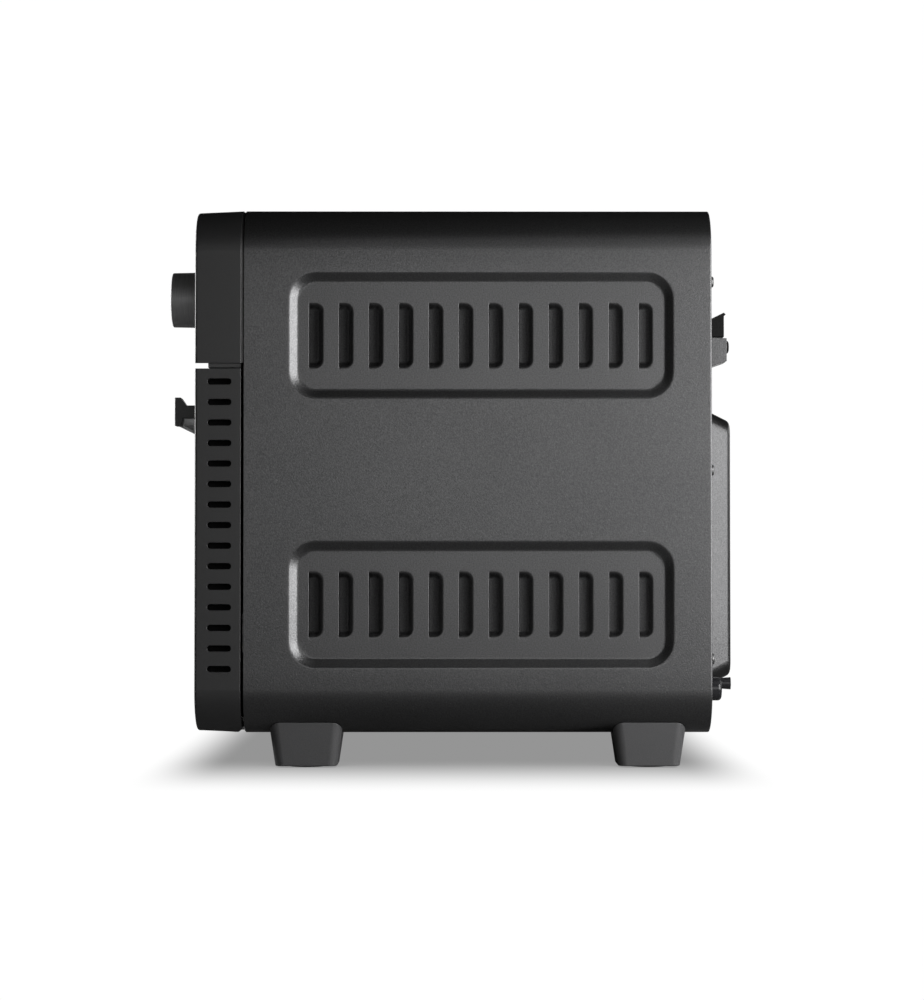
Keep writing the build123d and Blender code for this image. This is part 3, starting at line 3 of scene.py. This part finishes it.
import bpy
import json
import math
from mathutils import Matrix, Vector


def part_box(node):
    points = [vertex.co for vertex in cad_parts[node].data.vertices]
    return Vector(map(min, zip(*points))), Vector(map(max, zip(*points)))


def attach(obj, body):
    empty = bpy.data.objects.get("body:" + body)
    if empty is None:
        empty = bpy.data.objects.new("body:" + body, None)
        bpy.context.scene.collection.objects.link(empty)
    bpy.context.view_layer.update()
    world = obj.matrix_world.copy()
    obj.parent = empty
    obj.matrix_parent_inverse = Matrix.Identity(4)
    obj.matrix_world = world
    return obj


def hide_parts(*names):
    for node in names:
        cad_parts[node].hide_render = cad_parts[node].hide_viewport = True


MM = 0.001

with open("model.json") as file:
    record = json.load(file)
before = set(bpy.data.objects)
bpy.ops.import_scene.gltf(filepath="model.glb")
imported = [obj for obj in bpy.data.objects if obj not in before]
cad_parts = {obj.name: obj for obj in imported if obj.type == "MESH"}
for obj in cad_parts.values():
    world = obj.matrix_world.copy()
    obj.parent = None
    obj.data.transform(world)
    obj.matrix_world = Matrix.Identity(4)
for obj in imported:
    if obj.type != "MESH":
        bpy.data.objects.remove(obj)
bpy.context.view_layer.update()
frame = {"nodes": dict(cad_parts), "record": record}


# ---- Places read from the frame -------------------------------------------
wrap_low, wrap_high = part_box("outer_wrap")
half_width = wrap_high.x
body_bottom = wrap_low.z
body_top = wrap_high.z
mid_z = (body_bottom + body_top) / 2
wrap_front = wrap_low.y
wrap_rear = wrap_high.y
mid_y = (wrap_front + wrap_rear) / 2
door_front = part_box("door_frame")[0].y


# ---- Shader helpers --------------------------------------------------------
EDGE_SOFTENING = 0.5 * MM
PATCH_SIZE = 50.0 * MM


def new_material(name, color, roughness, metallic=0.0, **sockets):
    """A Principled material with plain values on its own sockets."""
    material = bpy.data.materials.new(name)
    material.use_nodes = True
    shader = material.node_tree.nodes["Principled BSDF"]
    shader.inputs["Base Color"].default_value = (*color, 1.0)
    shader.inputs["Roughness"].default_value = roughness
    shader.inputs["Metallic"].default_value = metallic
    for socket, value in sockets.items():
        shader.inputs[socket.replace("_", " ")].default_value = value
    return material


def add_node(owner, kind, **inputs):
    """A node in the tree of a material or world, with plain values on its sockets."""
    node = owner.node_tree.nodes.new(kind)
    for key, value in inputs.items():
        node.inputs[key.replace("_", " ")].default_value = value
    return node


def calculate(owner, operation, *terms):
    """Result of a math node; each term is a number or the output of another node."""
    node = add_node(owner, "ShaderNodeMath")
    node.operation = operation
    for socket, term in zip(node.inputs, terms):
        if isinstance(term, (int, float)):
            socket.default_value = term
        else:
            owner.node_tree.links.new(term, socket)
    return node.outputs[0]


def object_coords(material, scale=(1, 1, 1)):
    """Texture space in metres, fixed to the object."""
    coords = add_node(material, "ShaderNodeTexCoord")
    mapping = add_node(material, "ShaderNodeMapping", Scale=scale)
    material.node_tree.links.new(coords.outputs["Object"], mapping.inputs["Vector"])
    return mapping.outputs["Vector"]


def noise(material, vector, size, detail=2.0, rough=0.5):
    """Noise whose features are about size metres across."""
    node = add_node(material, "ShaderNodeTexNoise", Scale=1 / size, Detail=detail, Roughness=rough)
    material.node_tree.links.new(vector, node.inputs["Vector"])
    return node.outputs["Fac"]


def ramp(owner, value, low, high, out_low, out_high, eased=False):
    """Map a value from one range to another, clamped."""
    node = add_node(owner, "ShaderNodeMapRange", From_Min=low, From_Max=high,
                    To_Min=out_low, To_Max=out_high)
    if eased:
        node.interpolation_type = "SMOOTHSTEP"
    owner.node_tree.links.new(value, node.inputs["Value"])
    return node.outputs["Result"]


def tint(material, value, low, high):
    """Base colour between two colours, by a 0 to 1 value."""
    mix = material.node_tree.nodes.new("ShaderNodeMix")
    mix.data_type = "RGBA"
    mix.inputs["A"].default_value = (*low, 1)
    mix.inputs["B"].default_value = (*high, 1)
    links = material.node_tree.links
    links.new(value, mix.inputs["Factor"])
    links.new(mix.outputs["Result"], material.node_tree.nodes["Principled BSDF"].inputs["Base Color"])


def bump(material, value, distance):
    """Raised grain on a surface whose edges are softened a little."""
    node = add_node(material, "ShaderNodeBump", Strength=1.0, Distance=distance)
    soft = add_node(material, "ShaderNodeBevel", Radius=EDGE_SOFTENING)
    soft.samples = 4
    links = material.node_tree.links
    links.new(soft.outputs["Normal"], node.inputs["Normal"])
    links.new(value, node.inputs["Height"])
    links.new(node.outputs["Normal"], material.node_tree.nodes["Principled BSDF"].inputs["Normal"])


def to_roughness(material, value):
    shader = material.node_tree.nodes["Principled BSDF"]
    material.node_tree.links.new(value, shader.inputs["Roughness"])


def grain(material, dark, light, size, height, rough):
    """Fine surface grain with slow, faint changes of colour; rough is its least and most roughness."""
    vector = object_coords(material)
    fine = noise(material, vector, size, detail=3.0, rough=0.6)
    broad = noise(material, vector, PATCH_SIZE)
    speckle = ramp(material, fine, 0.3, 0.7, 0.0, 0.75)
    tint(material, calculate(material, "MULTIPLY_ADD", broad, 0.25, speckle), dark, light)
    bump(material, fine, height)
    to_roughness(material, ramp(material, fine, 0.25, 0.75, rough[1], rough[0]))
    return material


def brushed(name, dark, light, rough, along=(1, 30, 30), size=12 * MM, height=0.01 * MM, metallic=1.0):
    """Metal with faint lines; along has 1 for the axis that the lines follow."""
    material = new_material(name, light, 0.35, metallic)
    lines = noise(material, object_coords(material, along), size, detail=4.0, rough=0.6)
    tint(material, lines, dark, light)
    bump(material, lines, height)
    to_roughness(material, ramp(material, lines, 0.3, 0.7, rough[1], rough[0]))
    return material


# ---- Materials -------------------------------------------------------------
def powder_coat(name="powder_coat", shade=1.0):
    """Fine sandy grey coat; shade scales its brightness, and below 1 it is painted shade on the same coat.
    """
    dark = (0.085 * shade, 0.085 * shade, 0.0865 * shade)
    light = (0.15 * shade, 0.15 * shade, 0.152 * shade)
    material = new_material(name, dark, 0.37, 0.9)
    return grain(material, dark, light, size=0.9 * MM, height=0.08 * MM, rough=(0.27, 0.36))


def black_plastic():
    material = new_material("black_plastic", (0.017, 0.017, 0.0175), 0.45, Specular_IOR_Level=1.0)
    return grain(material, (0.013, 0.013, 0.0134), (0.021, 0.021, 0.0216),
                 size=0.6 * MM, height=0.03 * MM, rough=(0.38, 0.48))


def foot_plastic():
    material = new_material("foot_plastic", (0.08, 0.08, 0.082), 0.5)
    return grain(material, (0.068, 0.068, 0.07), (0.098, 0.098, 0.1),
                 size=0.6 * MM, height=0.03 * MM, rough=(0.46, 0.56))


def deep_black():
    """Matt black that stays dark under the lamps; on the door's inner panel it is painted shade inside the
    door's slots.
    """
    material = new_material("deep_black", (0.004, 0.004, 0.004), 0.6, Specular_IOR_Level=0.15)
    return grain(material, (0.003, 0.003, 0.003), (0.006, 0.006, 0.006),
                 size=0.8 * MM, height=0.03 * MM, rough=(0.55, 0.7))


def gloss_black():
    material = new_material("gloss_black", (0.02, 0.02, 0.022), 0.15)
    return grain(material, (0.018, 0.018, 0.02), (0.024, 0.024, 0.026),
                 size=4 * MM, height=0.004 * MM, rough=(0.12, 0.18))


def turned_metal():
    """Dark satin metal with fine turning rings round the y axis."""
    return brushed("dark_metal", (0.46, 0.46, 0.466), (0.78, 0.78, 0.788), rough=(0.48, 0.62),
                   along=(1, 25, 1), size=10 * MM, height=0.008 * MM, metallic=0.7)


def satin_bar():
    return brushed("satin_bar", (0.2, 0.2, 0.205), (0.28, 0.28, 0.285), rough=(0.28, 0.4),
                   along=(1, 25, 25))


def screw_steel():
    return brushed("screw_steel", (0.12, 0.12, 0.12), (0.2, 0.2, 0.2), rough=(0.32, 0.5),
                   along=(20, 1, 20), size=4 * MM, metallic=0.85)


def aluminised_steel():
    return brushed("aluminised_steel", (0.42, 0.42, 0.41), (0.58, 0.58, 0.57), rough=(0.3, 0.48))


def steel():
    return brushed("steel", (0.42, 0.42, 0.42), (0.6, 0.6, 0.6), rough=(0.25, 0.4))


def chrome_wire():
    return brushed("chrome_wire", (0.62, 0.62, 0.63), (0.72, 0.72, 0.73), rough=(0.08, 0.2))


def heater_sheath():
    material = new_material("heater_sheath", (0.3, 0.28, 0.25), 0.45, 0.8)
    stains = noise(material, object_coords(material), 20 * MM, detail=4.0, rough=0.6)
    tint(material, stains, (0.22, 0.2, 0.18), (0.4, 0.37, 0.33))
    bump(material, stains, 0.03 * MM)
    return material


def rubber(name):
    material = new_material(name, (0.025, 0.025, 0.025), 0.75)
    return grain(material, (0.02, 0.02, 0.02), (0.034, 0.034, 0.034),
                 size=0.8 * MM, height=0.04 * MM, rough=(0.68, 0.82))


def ceramic():
    material = new_material("ceramic", (0.8, 0.78, 0.72), 0.6)
    return grain(material, (0.74, 0.72, 0.66), (0.84, 0.82, 0.77),
                 size=1.2 * MM, height=0.03 * MM, rough=(0.5, 0.65))


def circuit_board():
    material = new_material("circuit_board", (0.03, 0.16, 0.07), 0.3)
    return grain(material, (0.02, 0.12, 0.05), (0.04, 0.2, 0.09),
                 size=3 * MM, height=0.02 * MM, rough=(0.22, 0.4))


def terminal_plastic():
    material = new_material("terminal_plastic", (0.62, 0.6, 0.52), 0.5)
    return grain(material, (0.58, 0.56, 0.48), (0.66, 0.64, 0.56),
                 size=1 * MM, height=0.02 * MM, rough=(0.42, 0.56))


def fibre():
    material = new_material("fibre", (0.7, 0.67, 0.56), 0.95)
    return grain(material, (0.6, 0.57, 0.46), (0.78, 0.75, 0.64),
                 size=3 * MM, height=0.6 * MM, rough=(0.9, 1.0))


def enamel():
    material = new_material("black_enamel", (0.03, 0.03, 0.032), 0.35)
    return grain(material, (0.026, 0.026, 0.028), (0.04, 0.04, 0.042),
                 size=2 * MM, height=0.02 * MM, rough=(0.28, 0.42))


def glass(name, color, transmission, roughness=0.03):
    """Glass with faint smears, a little rougher than the rest."""
    material = new_material(name, color, roughness, IOR=1.45, Transmission_Weight=transmission)
    smears = noise(material, object_coords(material), 80 * MM, detail=3.0, rough=0.6)
    to_roughness(material, ramp(material, smears, 0.35, 0.7, roughness, roughness + 0.05))
    return material


MATERIALS = {
    "powder_coat": powder_coat(),
    # the same coat at 0.55 of its brightness: painted shade on the motor cover
    "cover_coat_painted_shade": powder_coat("cover_coat_painted_shade", 0.55),
    "black_plastic": black_plastic(),
    "foot_plastic": foot_plastic(),
    "deep_black": deep_black(),
    "gloss_black": gloss_black(),
    "dark_metal": turned_metal(),
    "satin_bar": satin_bar(),
    "aluminised_steel": aluminised_steel(),
    "black_enamel": enamel(),
    "steel": steel(),
    "chrome_wire": chrome_wire(),
    "tinted_glass": glass("tinted_glass", (0.22, 0.22, 0.23), 0.85),
    "clear_glass": glass("clear_glass", (0.9, 0.92, 0.92), 0.95),
    "silicone": rubber("silicone"),
    "rubber": rubber("rubber"),
    "ceramic": ceramic(),
    "heater_sheath": heater_sheath(),
    "circuit_board": circuit_board(),
    "terminal_plastic": terminal_plastic(),
    "fibre": fibre(),
    "screw_steel": screw_steel(),
}

# Nodes with a finish of their own, instead of the one of their slot
OWN_FINISHES = {
    "handle_bar": "satin_bar",
    # the motor cover takes the darkened coat, painted shade
    "motor_cover": "cover_coat_painted_shade",
    # the door's inner panel is darker than its enamel: painted shade inside the door's slots
    "door_inner_panel": "deep_black",
    "cord_hooks": "deep_black",
    "wall_bumpers": "deep_black",
    "cord_gland": "gloss_black",
    "foot_front_left": "foot_plastic",
    "foot_front_right": "foot_plastic",
    "foot_rear_left": "foot_plastic",
    "foot_rear_right": "foot_plastic",
}


def dress_cad_nodes():
    """Give every CAD node its own finish, or the one of its slot in the record."""
    for part in frame["record"]["subparts"]:
        node = frame["nodes"][part["node"]]
        finish = OWN_FINISHES.get(part["node"], part["material_slot"])
        node.data.materials.clear()
        node.data.materials.append(MATERIALS[finish])


# ---- Mesh helpers ----------------------------------------------------------
def mesh_object(name, verts, faces, material):
    """A new mesh object with smooth shading."""
    mesh = bpy.data.meshes.new(name)
    mesh.from_pydata(verts, [], faces)
    mesh.validate()
    mesh.materials.append(MATERIALS[material])
    for polygon in mesh.polygons:
        polygon.use_smooth = True
    piece = bpy.data.objects.new(name, mesh)
    bpy.context.collection.objects.link(piece)
    return piece


def thicken(piece, thickness, sharp_angle):
    """Turn a skin into a closed sheet behind its outer face, with hard edges beyond an angle."""
    modifier = piece.modifiers.new("sheet", "SOLIDIFY")
    modifier.thickness = thickness
    modifier.offset = -1
    graph = bpy.context.evaluated_depsgraph_get()
    mesh = bpy.data.meshes.new_from_object(piece.evaluated_get(graph))
    mesh.set_sharp_from_angle(angle=sharp_angle)
    piece.modifiers.clear()
    piece.data = mesh


def spread(low, high, step):
    """Evenly spaced values from low to high, no further apart than step."""
    count = max(1, math.ceil((high - low) / step))
    return [low + (high - low) * i / count for i in range(count + 1)]


def merged(values, least):
    """Sorted values with near repeats left out."""
    kept = []
    for value in sorted(values):
        if not kept or value - kept[-1] > least:
            kept.append(value)
    return kept


# ---- Outer wrap: sizes -------------------------------------------------------
SHEET = 0.8 * MM
SHARP_ANGLE = math.radians(50)
CORNER = 28.0 * MM
RECESS_HALF_LENGTH = 121.0 * MM
RECESS_HALF_HEIGHT = 40.0 * MM
RECESS_RADIUS = 17.5 * MM
RECESS_BEVEL = 6.6 * MM
RECESS_DEPTH = 3.0 * MM
RECESS_RISE = 84.3 * MM         # middle of a recess over or under the middle of the side
RECESS_SHIFT = 2.2 * MM         # middle of a recess behind the middle of the side
LOUVRES = 12
LOUVRE_PITCH = 18.8 * MM
LOUVRE_WIDTH = 9.2 * MM
LOUVRE_HALF = 20.7 * MM         # half the height of a louvre
LOUVRE_RADIUS = 5.5 * MM
LOUVRE_SLOPE = 4.2 * MM
LOUVRE_DEPTH = 3.9 * MM
BLADE_CURVE = math.radians(66)
BLADE_LEAST = 0.45              # share of its depth that a blade has at its closed edge
SLIT_LIP = -0.01 * MM           # end of the face before a slit, from the slit
SLIT_OPENING = 0.02 * MM        # start of the blade behind a slit, from the slit
SLIT_RISE = 1.0 * MM            # least step between face and blade that leaves the slit open
BASE_LAP = 10.0 * MM
LAP_GAP = 0.1 * MM              # between the lap and the start of its corner
REAR_BEND = 0.7 * MM
REAR_FLANGE = 14.0 * MM

# ---- Outer wrap: places of its rows and columns, close together where it bends --
FRONT_STEP = 6.0 * MM           # columns before the recesses
PLAIN_STEP = 5.0 * MM           # columns behind them, the laps, and rows across the blades
BAND_HALF = 40.0 * MM           # plain band between the recesses
BAND_STEP = 10.0 * MM
TOP_PLACES = (120.0 * MM, 60.0 * MM)    # x of the rows on the right half of the top
CORNER_STEPS = 14
BEND_STEPS = 5
BEVEL_STEP = 0.5 * MM
BEVEL_MARGIN = 0.4 * MM
RECESS_GAP = 1.0 * MM           # between a recess and the plain columns next to it
RECESS_END_STEP = 1.4 * MM      # columns in the rounded corners of a recess
RECESS_ROW_START = 28.0 * MM    # first of the closer rows in those corners
RECESS_ROW_STEP = 1.6 * MM
RECESS_FLAT_STEP = 3.0 * MM     # rows between the louvres and those corners
LOUVRE_END = 6.5 * MM           # rounded ends of a louvre
LOUVRE_END_STEP = 0.55 * MM
LOUVRE_MARGIN = 0.3 * MM
BLADE_STEP = 0.62 * MM
BLADE_MARGIN = 0.5 * MM
OPENING_GAP = 0.4 * MM
LEAST_ROW = 0.12 * MM
LEAST_COLUMN = 0.15 * MM


def inside_distance(y, z, half_y, half_z, radius):
    """How far a point lies inside a rounded rectangle about the origin."""
    qy = abs(y) - half_y + radius
    qz = abs(z) - half_z + radius
    outside = math.hypot(max(qy, 0.0), max(qz, 0.0))
    return radius - outside - min(max(qy, qz), 0.0)


def pressed(distance, width, ease=0.22):
    """Share of a pressing's full depth: a straight slope with eased ends."""
    u = min(max(distance / width, 0.0), 1.0)
    if u < ease:
        area = u * u / (2 * ease)
    elif u > 1 - ease:
        area = 1 - ease - (1 - u) ** 2 / (2 * ease)
    else:
        area = u - ease / 2
    return area / (1 - ease)


def louvre_slits():
    """y of the slit at the front edge of every louvre."""
    first = mid_y + RECESS_SHIFT - LOUVRE_PITCH * (LOUVRES - 1) / 2 - LOUVRE_WIDTH / 2
    return [first + LOUVRE_PITCH * i for i in range(LOUVRES)]


def slit_lips():
    """y of the column where the face ends before every slit."""
    return [round(slit + SLIT_LIP, 9) for slit in louvre_slits()]


def slit_openings():
    """y of the column where the blade starts behind every slit."""
    return [round(slit + SLIT_OPENING, 9) for slit in louvre_slits()]


def blade_depth(behind, dz):
    """Depth of a louvre's blade, some way behind its slit and off its middle height."""
    inner = inside_distance(behind, dz, LOUVRE_WIDTH, LOUVRE_HALF, LOUVRE_RADIUS)
    reach = 1 - behind / LOUVRE_WIDTH
    fall = BLADE_LEAST + (1 - BLADE_LEAST) * math.sin(BLADE_CURVE * reach) / math.sin(BLADE_CURVE)
    return LOUVRE_DEPTH * pressed(inner, LOUVRE_SLOPE, ease=0.35) * fall


def side_depth(y, z):
    """Depth of the side face behind its plane, pressings and louvres together."""
    rise = RECESS_RISE if z > mid_z else -RECESS_RISE
    dz = z - mid_z - rise
    dy = y - mid_y - RECESS_SHIFT
    recess = inside_distance(dy, dz, RECESS_HALF_LENGTH, RECESS_HALF_HEIGHT, RECESS_RADIUS)
    depth = RECESS_DEPTH * pressed(recess, RECESS_BEVEL)
    if abs(dz) > LOUVRE_HALF:
        return depth
    for slit in louvre_slits():
        if slit < y < slit + LOUVRE_WIDTH:
            return depth + blade_depth(y - slit, dz)
    return depth


def side_heights():
    """z of every row of the side face."""
    louvre_end = LOUVRE_HALF + LOUVRE_MARGIN
    bevel_start = RECESS_HALF_HEIGHT - RECESS_BEVEL
    offsets = spread(0, LOUVRE_HALF - LOUVRE_END, PLAIN_STEP)
    offsets += spread(LOUVRE_HALF - LOUVRE_END, louvre_end, LOUVRE_END_STEP)
    offsets += spread(louvre_end, RECESS_ROW_START, RECESS_FLAT_STEP)
    offsets += spread(RECESS_ROW_START, bevel_start, RECESS_ROW_STEP)
    offsets += spread(bevel_start - BEVEL_MARGIN, RECESS_HALF_HEIGHT + BEVEL_STEP, BEVEL_STEP)
    rows = [mid_z + side * RECESS_RISE + sign * offset
            for side in (-1, 1) for sign in (-1, 1) for offset in offsets]
    low = body_bottom + CORNER
    high = body_top - CORNER
    rows += [low, high, mid_z] + spread(mid_z - BAND_HALF, mid_z + BAND_HALF, BAND_STEP)
    return merged([row for row in rows if low <= row <= high], LEAST_ROW)


def wrap_stations():
    """y of every column of the wrap."""
    centre = mid_y + RECESS_SHIFT
    columns = spread(wrap_front, centre - RECESS_HALF_LENGTH - RECESS_GAP, FRONT_STEP)
    columns += spread(centre + RECESS_HALF_LENGTH + RECESS_GAP, wrap_rear - REAR_BEND, PLAIN_STEP)
    columns.append(wrap_rear - 2 * REAR_BEND)
    bevel_start = RECESS_HALF_LENGTH - RECESS_BEVEL
    offsets = spread(bevel_start - BEVEL_MARGIN, RECESS_HALF_LENGTH + BEVEL_STEP, BEVEL_STEP)
    offsets += spread(RECESS_HALF_LENGTH - RECESS_RADIUS, bevel_start, RECESS_END_STEP)
    columns += [centre + sign * offset for sign in (-1, 1) for offset in offsets]
    for slit in louvre_slits():
        blade_start = slit + SLIT_OPENING + OPENING_GAP
        columns.append(slit - BLADE_MARGIN)
        columns += spread(blade_start, slit + LOUVRE_WIDTH + BLADE_MARGIN, BLADE_STEP)
        columns.append(slit + (LOUVRE_PITCH + LOUVRE_WIDTH) / 2)
    edges = slit_lips() + slit_openings()
    plain = [y for y in columns if all(abs(y - edge) > LEAST_COLUMN for edge in edges)]
    return sorted(merged(plain, LEAST_COLUMN) + edges)


def corner_point(centre_z, degrees):
    """Entry of the outline on a rounded corner, by its angle above level."""
    across = math.cos(math.radians(degrees))
    up = math.sin(math.radians(degrees))
    return (half_width - CORNER + CORNER * across, centre_z + CORNER * up, across, up, False)


def wrap_ring():
    """Outline of the wrap from the right lap, up, over and down to the left lap.

    Each entry is x, z, the outward normal, and whether it is on a flat side."""
    lap_end = half_width - CORNER
    right = [(x, body_bottom, 0.0, -1.0, False)
             for x in spread(lap_end - BASE_LAP, lap_end - LAP_GAP, PLAIN_STEP)]
    right += [corner_point(body_bottom + CORNER, -90 + 90 * i / CORNER_STEPS) for i in range(CORNER_STEPS)]
    right += [(half_width, z, 1.0, 0.0, True) for z in side_heights()]
    right += [corner_point(body_top - CORNER, 90 * i / CORNER_STEPS) for i in range(1, CORNER_STEPS + 1)]
    right += [(x, body_top, 0.0, 1.0, False) for x in TOP_PLACES]
    middle = [(0.0, body_top, 0.0, 1.0, False)]
    left = [(-x, z, -nx, nz, flat) for x, z, nx, nz, flat in reversed(right)]
    return right + middle + left


def rear_hem():
    """Inset and y of the rows that turn the rear edge of the wrap inwards."""
    hem = []
    for i in range(1, BEND_STEPS + 1):
        angle = math.radians(90 * i / BEND_STEPS)
        hem.append((REAR_BEND * (1 - math.cos(angle)), wrap_rear - REAR_BEND + REAR_BEND * math.sin(angle)))
    return hem + [(REAR_FLANGE, wrap_rear)]


def skin_faces(depths, columns):
    """Faces of the skin before its hem, left open along every slit."""
    width = len(columns)
    lips = {columns.index(y) for y in slit_lips()}
    faces = []
    for r in range(len(depths) - 1):
        for c in range(width - 1):
            jump = abs(depths[r][c + 1] - depths[r][c]) + abs(depths[r + 1][c + 1] - depths[r + 1][c])
            if c in lips and jump > SLIT_RISE:
                continue
            a = r * width + c
            faces.append((a, a + 1, a + width + 1, a + width))
    return faces


def hem_faces(count, width, hem_rows):
    """Faces from the last column of the skin through the rows of its hem."""
    faces = []
    for r in range(count - 1):
        last = r * width + width - 1
        previous = (last, last + width)
        for k in range(hem_rows):
            first = (width + k) * count + r
            faces.append((previous[0], first, first + 1, previous[1]))
            previous = (first, first + 1)
    return faces


def build_wrap():
    """The outer wrap as one sheet with its pressings, louvres and hemmed rear edge."""
    ring = wrap_ring()
    columns = wrap_stations()
    depths = [[side_depth(y, z) if flat else 0.0 for y in columns] for x, z, nx, nz, flat in ring]
    verts = []
    for (x, z, nx, nz, flat), row in zip(ring, depths):
        verts += [(x - nx * depth, y, z - nz * depth) for y, depth in zip(columns, row)]
    hem = rear_hem()
    for inset, y in hem:
        verts += [(x - nx * inset, y, z - nz * inset) for x, z, nx, nz, flat in ring]
    faces = skin_faces(depths, columns) + hem_faces(len(ring), len(columns), len(hem))
    wrap = mesh_object("wrap_skin", verts, faces, "powder_coat")
    thicken(wrap, SHEET, SHARP_ANGLE)
    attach(wrap, "housing")
    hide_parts("outer_wrap")


# ---- Stage: floor, world, lamps and camera -----------------------------------
FILL_LEVEL = 0.004              # backdrop as other surfaces see it
WHITE_LEVEL = 1.01              # backdrop and floor as the camera sees them
FLOOR_HALF = 6.0
FLOOR_GREY = 0.2                # floor as other surfaces see it
# darkest level of the painted shadows on the floor, then reach, range and samples of the painted contact
# shadow
SHADOW_LEVEL = 0.3
CONTACT_REACH = 0.07
CONTACT_RANGE = (0.1, 0.6)      # openness of the floor at full shadow and at none
CONTACT_SAMPLES = 16
# softness of the painted shadow under the oven, towards its sides and towards its front and back
SHADOW_TO_SIDES = 0.17
SHADOW_TO_FRONT = 0.035
LENS = 92.2
SENSOR_WIDTH = 36.0
CAMERA_AWAY = 1.6               # from the right side of the wrap
CAMERA_PLACE = (0.0017, 0.130)  # its y and z
CAMERA_AIM = (0.0067, 0.1681)   # y and z of its aim on that side


def seen_directly(owner):
    """1 for camera and transmission rays, otherwise 0."""
    path = add_node(owner, "ShaderNodeLightPath")
    return calculate(owner, "MAXIMUM", path.outputs["Is Camera Ray"], path.outputs["Is Transmission Ray"])


def painted_floor_shadow(material):
    """Painted shadow: brightness of the floor under and round the body, softer towards its sides than its
    front.
    """
    split = add_node(material, "ShaderNodeSeparateXYZ")
    material.node_tree.links.new(object_coords(material), split.inputs[0])
    middle_y = (door_front + wrap_rear) / 2
    shares = []
    for axis, middle, edge, soft in (("X", 0.0, half_width, SHADOW_TO_SIDES),
                                     ("Y", middle_y, wrap_rear - middle_y, SHADOW_TO_FRONT)):
        away = calculate(material, "ABSOLUTE", calculate(material, "SUBTRACT", split.outputs[axis], middle))
        shares.append(ramp(material, away, edge - soft / 2, edge + soft, 1.0, 0.0, eased=True))
    both = calculate(material, "MULTIPLY", *shares)
    return ramp(material, both, 0.0, 1.0, WHITE_LEVEL, SHADOW_LEVEL)


def floor_material():
    """White to the camera, but for painted soft shadows under the oven and near what stands on the floor.
    """
    material = bpy.data.materials.new("floor")
    material.use_nodes = True
    material.node_tree.nodes.clear()
    links = material.node_tree.links
    diffuse = add_node(material, "ShaderNodeBsdfDiffuse", Color=(FLOOR_GREY, FLOOR_GREY, FLOOR_GREY, 1))
    near = add_node(material, "ShaderNodeAmbientOcclusion", Distance=CONTACT_REACH)
    near.samples = CONTACT_SAMPLES
    # painted contact shadow: the floor's glow is dimmed where ambient occlusion finds something close by
    painted_contact_shadow = ramp(material, near.outputs["AO"], *CONTACT_RANGE, SHADOW_LEVEL, WHITE_LEVEL)
    glow = add_node(material, "ShaderNodeEmission")
    links.new(calculate(material, "MINIMUM", painted_contact_shadow, painted_floor_shadow(material)), glow.inputs["Strength"])
    mix = add_node(material, "ShaderNodeMixShader")
    links.new(seen_directly(material), mix.inputs["Fac"])
    links.new(diffuse.outputs[0], mix.inputs[1])
    links.new(glow.outputs[0], mix.inputs[2])
    output = add_node(material, "ShaderNodeOutputMaterial")
    links.new(mix.outputs[0], output.inputs["Surface"])
    return material


def build_floor():
    corners = [(x * FLOOR_HALF, y * FLOOR_HALF, 0) for x, y in ((-1, -1), (1, -1), (1, 1), (-1, 1))]
    mesh = bpy.data.meshes.new("floor")
    mesh.from_pydata(corners, [], [(0, 1, 2, 3)])
    mesh.materials.append(floor_material())
    floor = bpy.data.objects.new("floor", mesh)
    bpy.context.collection.objects.link(floor)


def build_world():
    """White backdrop for the camera, with a dim even fill for everything else."""
    world = bpy.data.worlds.new("studio")
    bpy.context.scene.world = world
    world.use_nodes = True
    background = world.node_tree.nodes["Background"]
    background.inputs["Color"].default_value = (1, 1, 1, 1)
    level = ramp(world, seen_directly(world), 0.0, 1.0, FILL_LEVEL, WHITE_LEVEL)
    world.node_tree.links.new(level, background.inputs["Strength"])


def add_lamp(name, place, target, size, power):
    """A rectangular lamp that the camera doesn't see; size in metres, power in watts."""
    light = bpy.data.lights.new(name, "AREA")
    light.shape = "RECTANGLE"
    light.size, light.size_y = size
    light.energy = power
    lamp = bpy.data.objects.new(name, light)
    lamp.location = place
    lamp.rotation_euler = (Vector(target) - Vector(place)).to_track_quat("-Z", "Y").to_euler()
    lamp.visible_camera = False
    bpy.context.collection.objects.link(lamp)


def build_lamps():
    """A wide panel on the right, a softbox for the recesses' front edges, a top strip and dim fills."""
    add_lamp("rear_side_key", place=(0.62, 0.62, 0.24), target=(0.2, 0.1, 0.2), size=(0.6, 0.7), power=8.2)
    add_lamp("side_panel", place=(1.95, 0.5, 0.31), target=(0.2, 0.12, 0.2), size=(1.8, 0.75), power=5.2)
    add_lamp("top_strip", place=(0.4, 0.12, 0.45), target=(0.21, 0.08, 0.07), size=(0.5, 0.1), power=0.04)
    add_lamp("front_fill", place=(-0.9, -1.7, 0.55), target=(0, 0, 0.15), size=(1.2, 0.7), power=28)
    add_lamp("rear_fill", place=(-0.6, 1.8, 0.6), target=(0, 0, 0.15), size=(1.0, 0.8), power=8)
    add_lamp("left_panel", place=(-1.95, 0.2, 0.4), target=(-0.2, 0, 0.2), size=(1.7, 0.6), power=6)


def build_camera():
    """Long lens a little under the middle of the oven, nearly square to its right side."""
    camera = bpy.data.objects.new("camera", bpy.data.cameras.new("camera"))
    camera.data.lens = LENS
    camera.data.sensor_width = SENSOR_WIDTH
    camera.location = (half_width + CAMERA_AWAY, *CAMERA_PLACE)
    aim = Vector((half_width, *CAMERA_AIM))
    camera.rotation_euler = (aim - camera.location).to_track_quat("-Z", "Y").to_euler()
    bpy.context.collection.objects.link(camera)
    bpy.context.scene.camera = camera


bpy.context.scene.view_settings.view_transform = "Standard"
dress_cad_nodes()
build_wrap()
build_floor()
build_world()
build_lamps()
build_camera()
